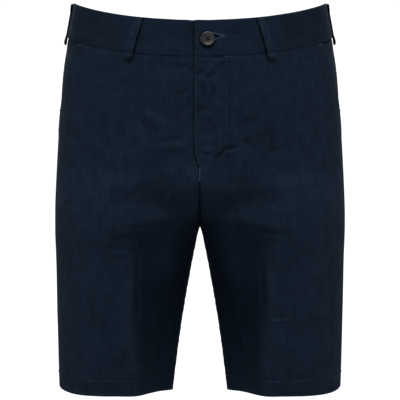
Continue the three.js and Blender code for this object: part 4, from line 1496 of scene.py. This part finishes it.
def button_thread():
    """Two crossed bars of three strands each between the button's holes, and a shank under it."""
    middle, across, up, out = button_frame()
    half = BUTTON_HOLE_SPACING / 2
    floor = 2.05
    paths = []
    for sign in (1, -1):
        along = (across + sign * up) * half
        beside = unit(across - sign * up)
        for strand in (-0.42, 0, 0.42):
            start = middle - along * 1.05 + beside * strand + out * (floor + 0.1 * sign)
            end = middle + along * 1.05 + beside * strand + out * (floor + 0.1 * sign)
            paths.append(straight_path(start, end, out))
    length = 2 * np.sqrt(2) * half * 1.05
    points, faces = stitches(paths, length * 0.98, 0.01, 0.3, lift=0.5, sink=0.9)
    turn = np.linspace(0, 2 * np.pi, 12, endpoint=False)
    steps = np.linspace(-1.4, 0.05, 8)
    ring = across * np.cos(turn)[:, None] + up * np.sin(turn)[:, None]
    shank = middle + ring * (1.7 + 0.15 * np.cos(steps * 9))[:, None, None] + out * steps[:, None, None]
    more, more_faces = tube_faces(shank[None])
    faces = faces + [f + len(points) for f in more_faces]
    return np.concatenate([points, more]), faces


class SHORTS_OT_buttonhole(bpy.types.Operator):
    """Adds the close stitches round the buttonhole"""
    bl_idname = "shorts.buttonhole"
    bl_label = "Buttonhole"

    def execute(self, context):
        x = np.linspace(SLOT_FROM, SLOT_TO, 60)
        groups = []
        # The upper row of buttonhole stitches takes more painted highlight than the lower one.
        for side, pale in ((1, 0.6), (-1, 0.25)):
            wide = slot_half_width(x)
            inner = SLOT_LEVEL + side * wide
            outer = SLOT_LEVEL + side * (wide + SLOT_STITCH)
            lift = BAND_PROUD + BAND_LIFT
            near, normals = surface_path(1, angle_at(x, inner, True), inner, lift - 0.25)
            far, _ = surface_path(1, angle_at(x, outer, True), outer, lift)
            paths = [straight_path(a, b, n, 7) for a, b, n in zip(near, far, normals)]
            groups.append((*stitches(paths, 2.1, 0.1, 0.24, lift=0.5), pale))
        end_level = SLOT_LEVEL + np.linspace(-1.5, 1.5, 12)
        end = surface_path(1, angle_at(SLOT_TO + 0.6, end_level, True), end_level, BAND_PROUD + BAND_LIFT)
        tack, radius = bar_tack(end, SLOT_STITCH, radius=0.28, pitch=0.4)
        groups.append((*stitches(tack, 1.9, 0.1, radius, lift=0.5), 0.6))
        add_stitches("buttonhole_stitching", groups)
        return {"FINISHED"}


class SHORTS_OT_stitching(bpy.types.Operator):
    """Adds the topstitching and bar tacks of the hems, pockets, fly, waistband and belt loops"""
    bl_idname = "shorts.stitching"
    bl_label = "Stitching"

    def execute(self, context):
        sewing = context.scene.shorts_sewing
        length, gap = sewing.stitch_length / MM, sewing.stitch_gap / MM
        radius = sewing.thread_radius / MM

        def run(paths, pale, lift=0.25):
            return *stitches(paths, length, gap, radius, lift=lift), pale

        def tack(path, width, pale):
            laid, thick = bar_tack(path, width)
            return *stitches(laid, width * 0.96, width * 0.04, thick, lift=0.45), pale

        for side, half in HALVES.items():
            add_stitches(f"hem_stitching_{side}", [run(hem_paths(half), pale_at_hem)])
            top, low = pocket_tacks(half)
            add_stitches(f"pocket_stitching_{side}", [
                run(pocket_paths(half), 0), tack(top, 1.6, 0.3), tack(low, 2.2, 0.05)])
            add_stitches(f"waistband_stitching_{side}", [run(band_paths(half), 0, lift=0.15)])
        tacks = [tack(path, width, 0.55) for path, width in fly_tacks()]
        add_stitches("fly_stitching", [run(fly_paths(), pale_at_fly), *tacks])
        for name, values in LOOPS.items():
            edge_runs, tacks = loop_sewing(*values)
            tacks = [tack(path, 1.8, 0.2) for path in tacks]
            add_stitches(f"{name}_stitching", [run(edge_runs, 0.05), *tacks])
        return {"FINISHED"}


def broken(way):
    """Uneven patches along a line: a wave whose phase wanders, cut off at 0 and 1."""
    return np.clip(0.3 + 1.4 * np.sin(way / 2.6 + 2 * np.sin(way / 7.0)), 0, 1)


def pale_at_hem(x, y, z):
    """The hem's thread catches the light on the outer part of each front, in patches."""
    outward = smooth((np.abs(x) - 70) / 12) * smooth((150 - np.abs(x)) / 12)
    return np.where(y < 0, 0.06 + 0.5 * outward * broken(x), 0.06)


def pale_at_fly(x, y, z):
    """The fly's thread catches the light down the lower half of its straight part."""
    return 0.35 * smooth((z + 140) / 8) * smooth((-90 - z) / 8) * broken(z)


def hem_paths(half):
    """One row of stitches round the leg, a little above the turned-up edge's depth."""
    level = HEM_FOLD + HEM_LINE_ABOVE
    rows = []
    for front in (True, False):
        end = angle_at(leg_gap(level), np.float64(level), front)
        rows.append(surface_path(half, np.linspace(SIDE_SEAM_ANGLE, end, 400), level, 0.0))
    return rows


def pocket_paths(half):
    """A line beside the pocket mouth, set in from its edge by an angle: the inset over the half width."""
    level = np.linspace(WAIST_SEAM - 1, MOUTH_TIP + 3, 200)
    angle = mouth_angle(level) + POCKET_LINE_INSET / section(HALF_WIDTH, level)
    return [surface_path(half, angle, level, lap_offset(half, half * 150, level))]


def pocket_tacks(half):
    """Bar tacks across the pocket mouth at its top and a third of the way from its tip."""
    tacks = []
    for level in (WAIST_SEAM - 3.5, POCKET_TACK_LOW):
        middle = mouth_angle(level)
        tacks.append(surface_path(half, middle + np.linspace(0.0, 0.07, 9), level, 0.1))
    return tacks


def band_paths(half):
    """Fine stitches sunk in the waistband's lower seam."""
    low = WAIST_SEAM + 0.3
    end_x = 2 + FLY_EDGE * half
    start = angle_at(2, np.float64(low), False)
    end = angle_at(end_x, np.float64(low), True)
    angle = np.linspace(start, end, 500)
    x = half * form_point(angle, row_height(low, angle))[:, 0]
    raised = np.where(angle > 0, band_lap(half, x), 0)
    return [surface_path(half, angle, low, BAND_PROUD - 0.35 + raised)]


def fly_paths():
    """The fly's curved line: straight down at its distance from the edge, and then a quarter of an
    ellipse in to the fly's end."""
    straight = np.linspace(WAIST_SEAM - 1, FLY_CURVE_TOP, 160)
    turn = np.linspace(0, np.pi / 2, 60)
    level = np.concatenate([straight, FLY_CURVE_TOP - FLY_CURVE_DEPTH * np.sin(turn)])
    curve = FLY_CURVE_MIDDLE + (FLY_LINE - FLY_CURVE_MIDDLE) * np.cos(turn)
    x = np.concatenate([np.full(len(straight), FLY_LINE), curve])
    angle = angle_at(x, level, True)
    return [surface_path(1, angle, level, lap_offset(1, x, level))]


def fly_tacks():
    """The upright tack at the fly's end and the small crossed ones where its line starts, each with its
    width."""
    tacks = []
    for x, to_x, level, to_level, width in (
        (0, 0, -175, -190, 1.8),
        (FLY_LINE, FLY_LINE, -6, -10, 1.4),
        (FLY_LINE, FLY_LINE + 6, -6.5, -6.5, 1.2),
    ):
        x, level = np.linspace(x, to_x, 14), np.linspace(level, to_level, 14)
        path = surface_path(1, angle_at(x, level, True), level, lap_offset(1, x, level) + 0.2)
        tacks.append((path, width))
    return tacks


def loop_sewing(half, top_angle, bottom_angle, stands_off):
    """A row of stitches beside each edge of a belt loop, and a tack across each of its ends."""
    down = np.linspace(1.5, LOOP_LENGTH - 1.5, 90)
    level, middle, rate, under, thick = loop_frame(half, top_angle, bottom_angle, stands_off, down)
    rows = []
    for across in (-LOOP_STITCH_ACROSS, LOOP_STITCH_ACROSS):
        rows.append(surface_path(half, middle + across / rate, level, under + thick - 0.2))
    tacks = []
    for place in (3.2, LOOP_LENGTH - 4.2):
        level, middle, rate, under, thick = loop_frame(
            half, top_angle, bottom_angle, stands_off, np.float64(place))
        across = np.linspace(-LOOP_TACK_ACROSS, LOOP_TACK_ACROSS, 20)
        tacks.append(surface_path(half, middle + across / rate, level, under + thick))
    return rows, tacks


class SHORTS_OT_stage(bpy.types.Operator):
    """Adds the pale floor, the lights and the camera"""
    bl_idname = "shorts.stage"
    bl_label = "Stage"

    def execute(self, context):
        look = context.scene.shorts_stage
        add_floor(look)
        for name, place, power, size in (
            ("key_light", (0.0, -4.2, 7.1), look.key_light, (6.2, 2.8)),
            ("low_light", (0.0, -3.6, -0.85), look.low_light, (3.0, 0.6)),
            ("side_light_left", (3.3, 0.0, 0.1), look.side_light, (1.6, 2.4)),
            ("side_light_right", (-3.3, 0.0, 0.1), look.side_light, (1.6, 2.4)),
            ("rear_light_left", (1.6, 3.4, 1.6), look.rear_light, (1.6, 1.6)),
            ("rear_light_right", (-1.6, 3.4, 1.6), look.rear_light, (1.6, 1.6)),
        ):
            add_light(name, place, power, size)
        world = bpy.data.worlds.new("studio_sky")
        world.use_nodes = True
        world.node_tree.nodes["Background"].inputs["Color"].default_value = (1, 1, 1, 1)
        world.node_tree.nodes["Background"].inputs["Strength"].default_value = look.sky
        context.scene.world = world
        context.scene.view_settings.view_transform = "Standard"
        add_camera()
        return {"FINISHED"}


def add_floor(look):
    """The studio's floor: a flat disc whose rim turns up along a quarter circle into a wall all round,
    carried once round the upright axis."""
    rise = np.linspace(0, np.pi / 2, 24)
    flat = np.linspace(0.001, look.floor_radius - 1, 12)
    radius = np.concatenate([flat, look.floor_radius - 1 + np.sin(rise[1:]), [look.floor_radius]])
    height = np.concatenate([0 * flat, 1 - np.cos(rise[1:]), [2.6]]) + look.floor_height
    turn = np.linspace(0, 2 * np.pi, 97)
    ring = np.stack([np.cos(turn), np.sin(turn), 0 * turn], axis=-1)
    points = radius[:, None, None] * ring + np.stack([0 * height, 0 * height, height], axis=-1)[:, None]
    faces = quads(np.arange(points[..., 0].size).reshape(points.shape[:2]))
    mesh = bpy.data.meshes.new("studio_floor")
    mesh.from_pydata(points.reshape(-1, 3), [], faces)
    mesh.polygons.foreach_set("use_smooth", np.ones(len(mesh.polygons), dtype=bool))
    mesh.materials.append(stage_material(look))
    floor = bpy.data.objects.new("studio_floor", mesh)
    bpy.context.scene.collection.objects.link(floor)


# What the lights and the camera look at, and the camera's distance and view, in metres.
EYE_HEIGHT = -0.215
EYE_DISTANCE = 2.0
VIEW_WIDTH = 0.52
SENSOR = 36.0


def add_light(name, place, power, size):
    """A soft rectangular light that faces the middle of the shorts."""
    data = bpy.data.lights.new(name, "AREA")
    data.shape = "RECTANGLE"
    data.size, data.size_y = size
    data.energy = power
    light = bpy.data.objects.new(name, data)
    light.location = place
    aim = Vector((0, 0, EYE_HEIGHT)) - Vector(place)
    light.rotation_euler = aim.to_track_quat("-Z", "Y").to_euler()
    bpy.context.scene.collection.objects.link(light)


def add_camera():
    """A level camera in front of the shorts. Its lens takes in the view's width at the middle."""
    data = bpy.data.cameras.new("camera")
    data.sensor_width = SENSOR
    data.lens = SENSOR * EYE_DISTANCE / VIEW_WIDTH
    camera = bpy.data.objects.new("camera", data)
    camera.location = (0, -EYE_DISTANCE, EYE_HEIGHT)
    camera.rotation_euler = (np.pi / 2, 0, 0)
    bpy.context.scene.collection.objects.link(camera)
    bpy.context.scene.camera = camera


class SHORTS_PT_panel(bpy.types.Panel):
    """Lists the pieces of the shorts"""
    bl_label = "Bermuda Shorts"
    bl_space_type = "VIEW_3D"
    bl_region_type = "UI"
    bl_category = "Shorts"

    def draw(self, context):
        for operator in OPERATORS:
            self.layout.operator(operator.bl_idname)
        for name in PROPERTIES:
            group = getattr(context.scene, name)
            box = self.layout.box()
            for key in group.bl_rna.properties.keys():
                if key not in ("rna_type", "name"):
                    box.prop(group, key)


PROPERTIES = {
    "shorts_cloth": ClothLook,
    "shorts_sewing": SewingLook,
    "shorts_button": ButtonLook,
    "shorts_stage": StageLook,
}
OPERATORS = (
    SHORTS_OT_stage, SHORTS_OT_fronts, SHORTS_OT_backs, SHORTS_OT_pocket_facings, SHORTS_OT_waistband,
    SHORTS_OT_belt_loops, SHORTS_OT_fly_parts, SHORTS_OT_button, SHORTS_OT_buttonhole,
    SHORTS_OT_stitching,
)


def register():
    for cls in (*PROPERTIES.values(), *OPERATORS, SHORTS_PT_panel):
        bpy.utils.register_class(cls)
    for name, cls in PROPERTIES.items():
        setattr(bpy.types.Scene, name, bpy.props.PointerProperty(type=cls))


def unregister():
    for name in PROPERTIES:
        delattr(bpy.types.Scene, name)
    for cls in reversed((*PROPERTIES.values(), *OPERATORS, SHORTS_PT_panel)):
        bpy.utils.unregister_class(cls)


def main():
    register()
    plain_weave_group()
    slub_group()
    for operator in OPERATORS:
        prefix, name = operator.bl_idname.split(".")
        getattr(getattr(bpy.ops, prefix), name)()


if __name__ == "__main__":
    main()
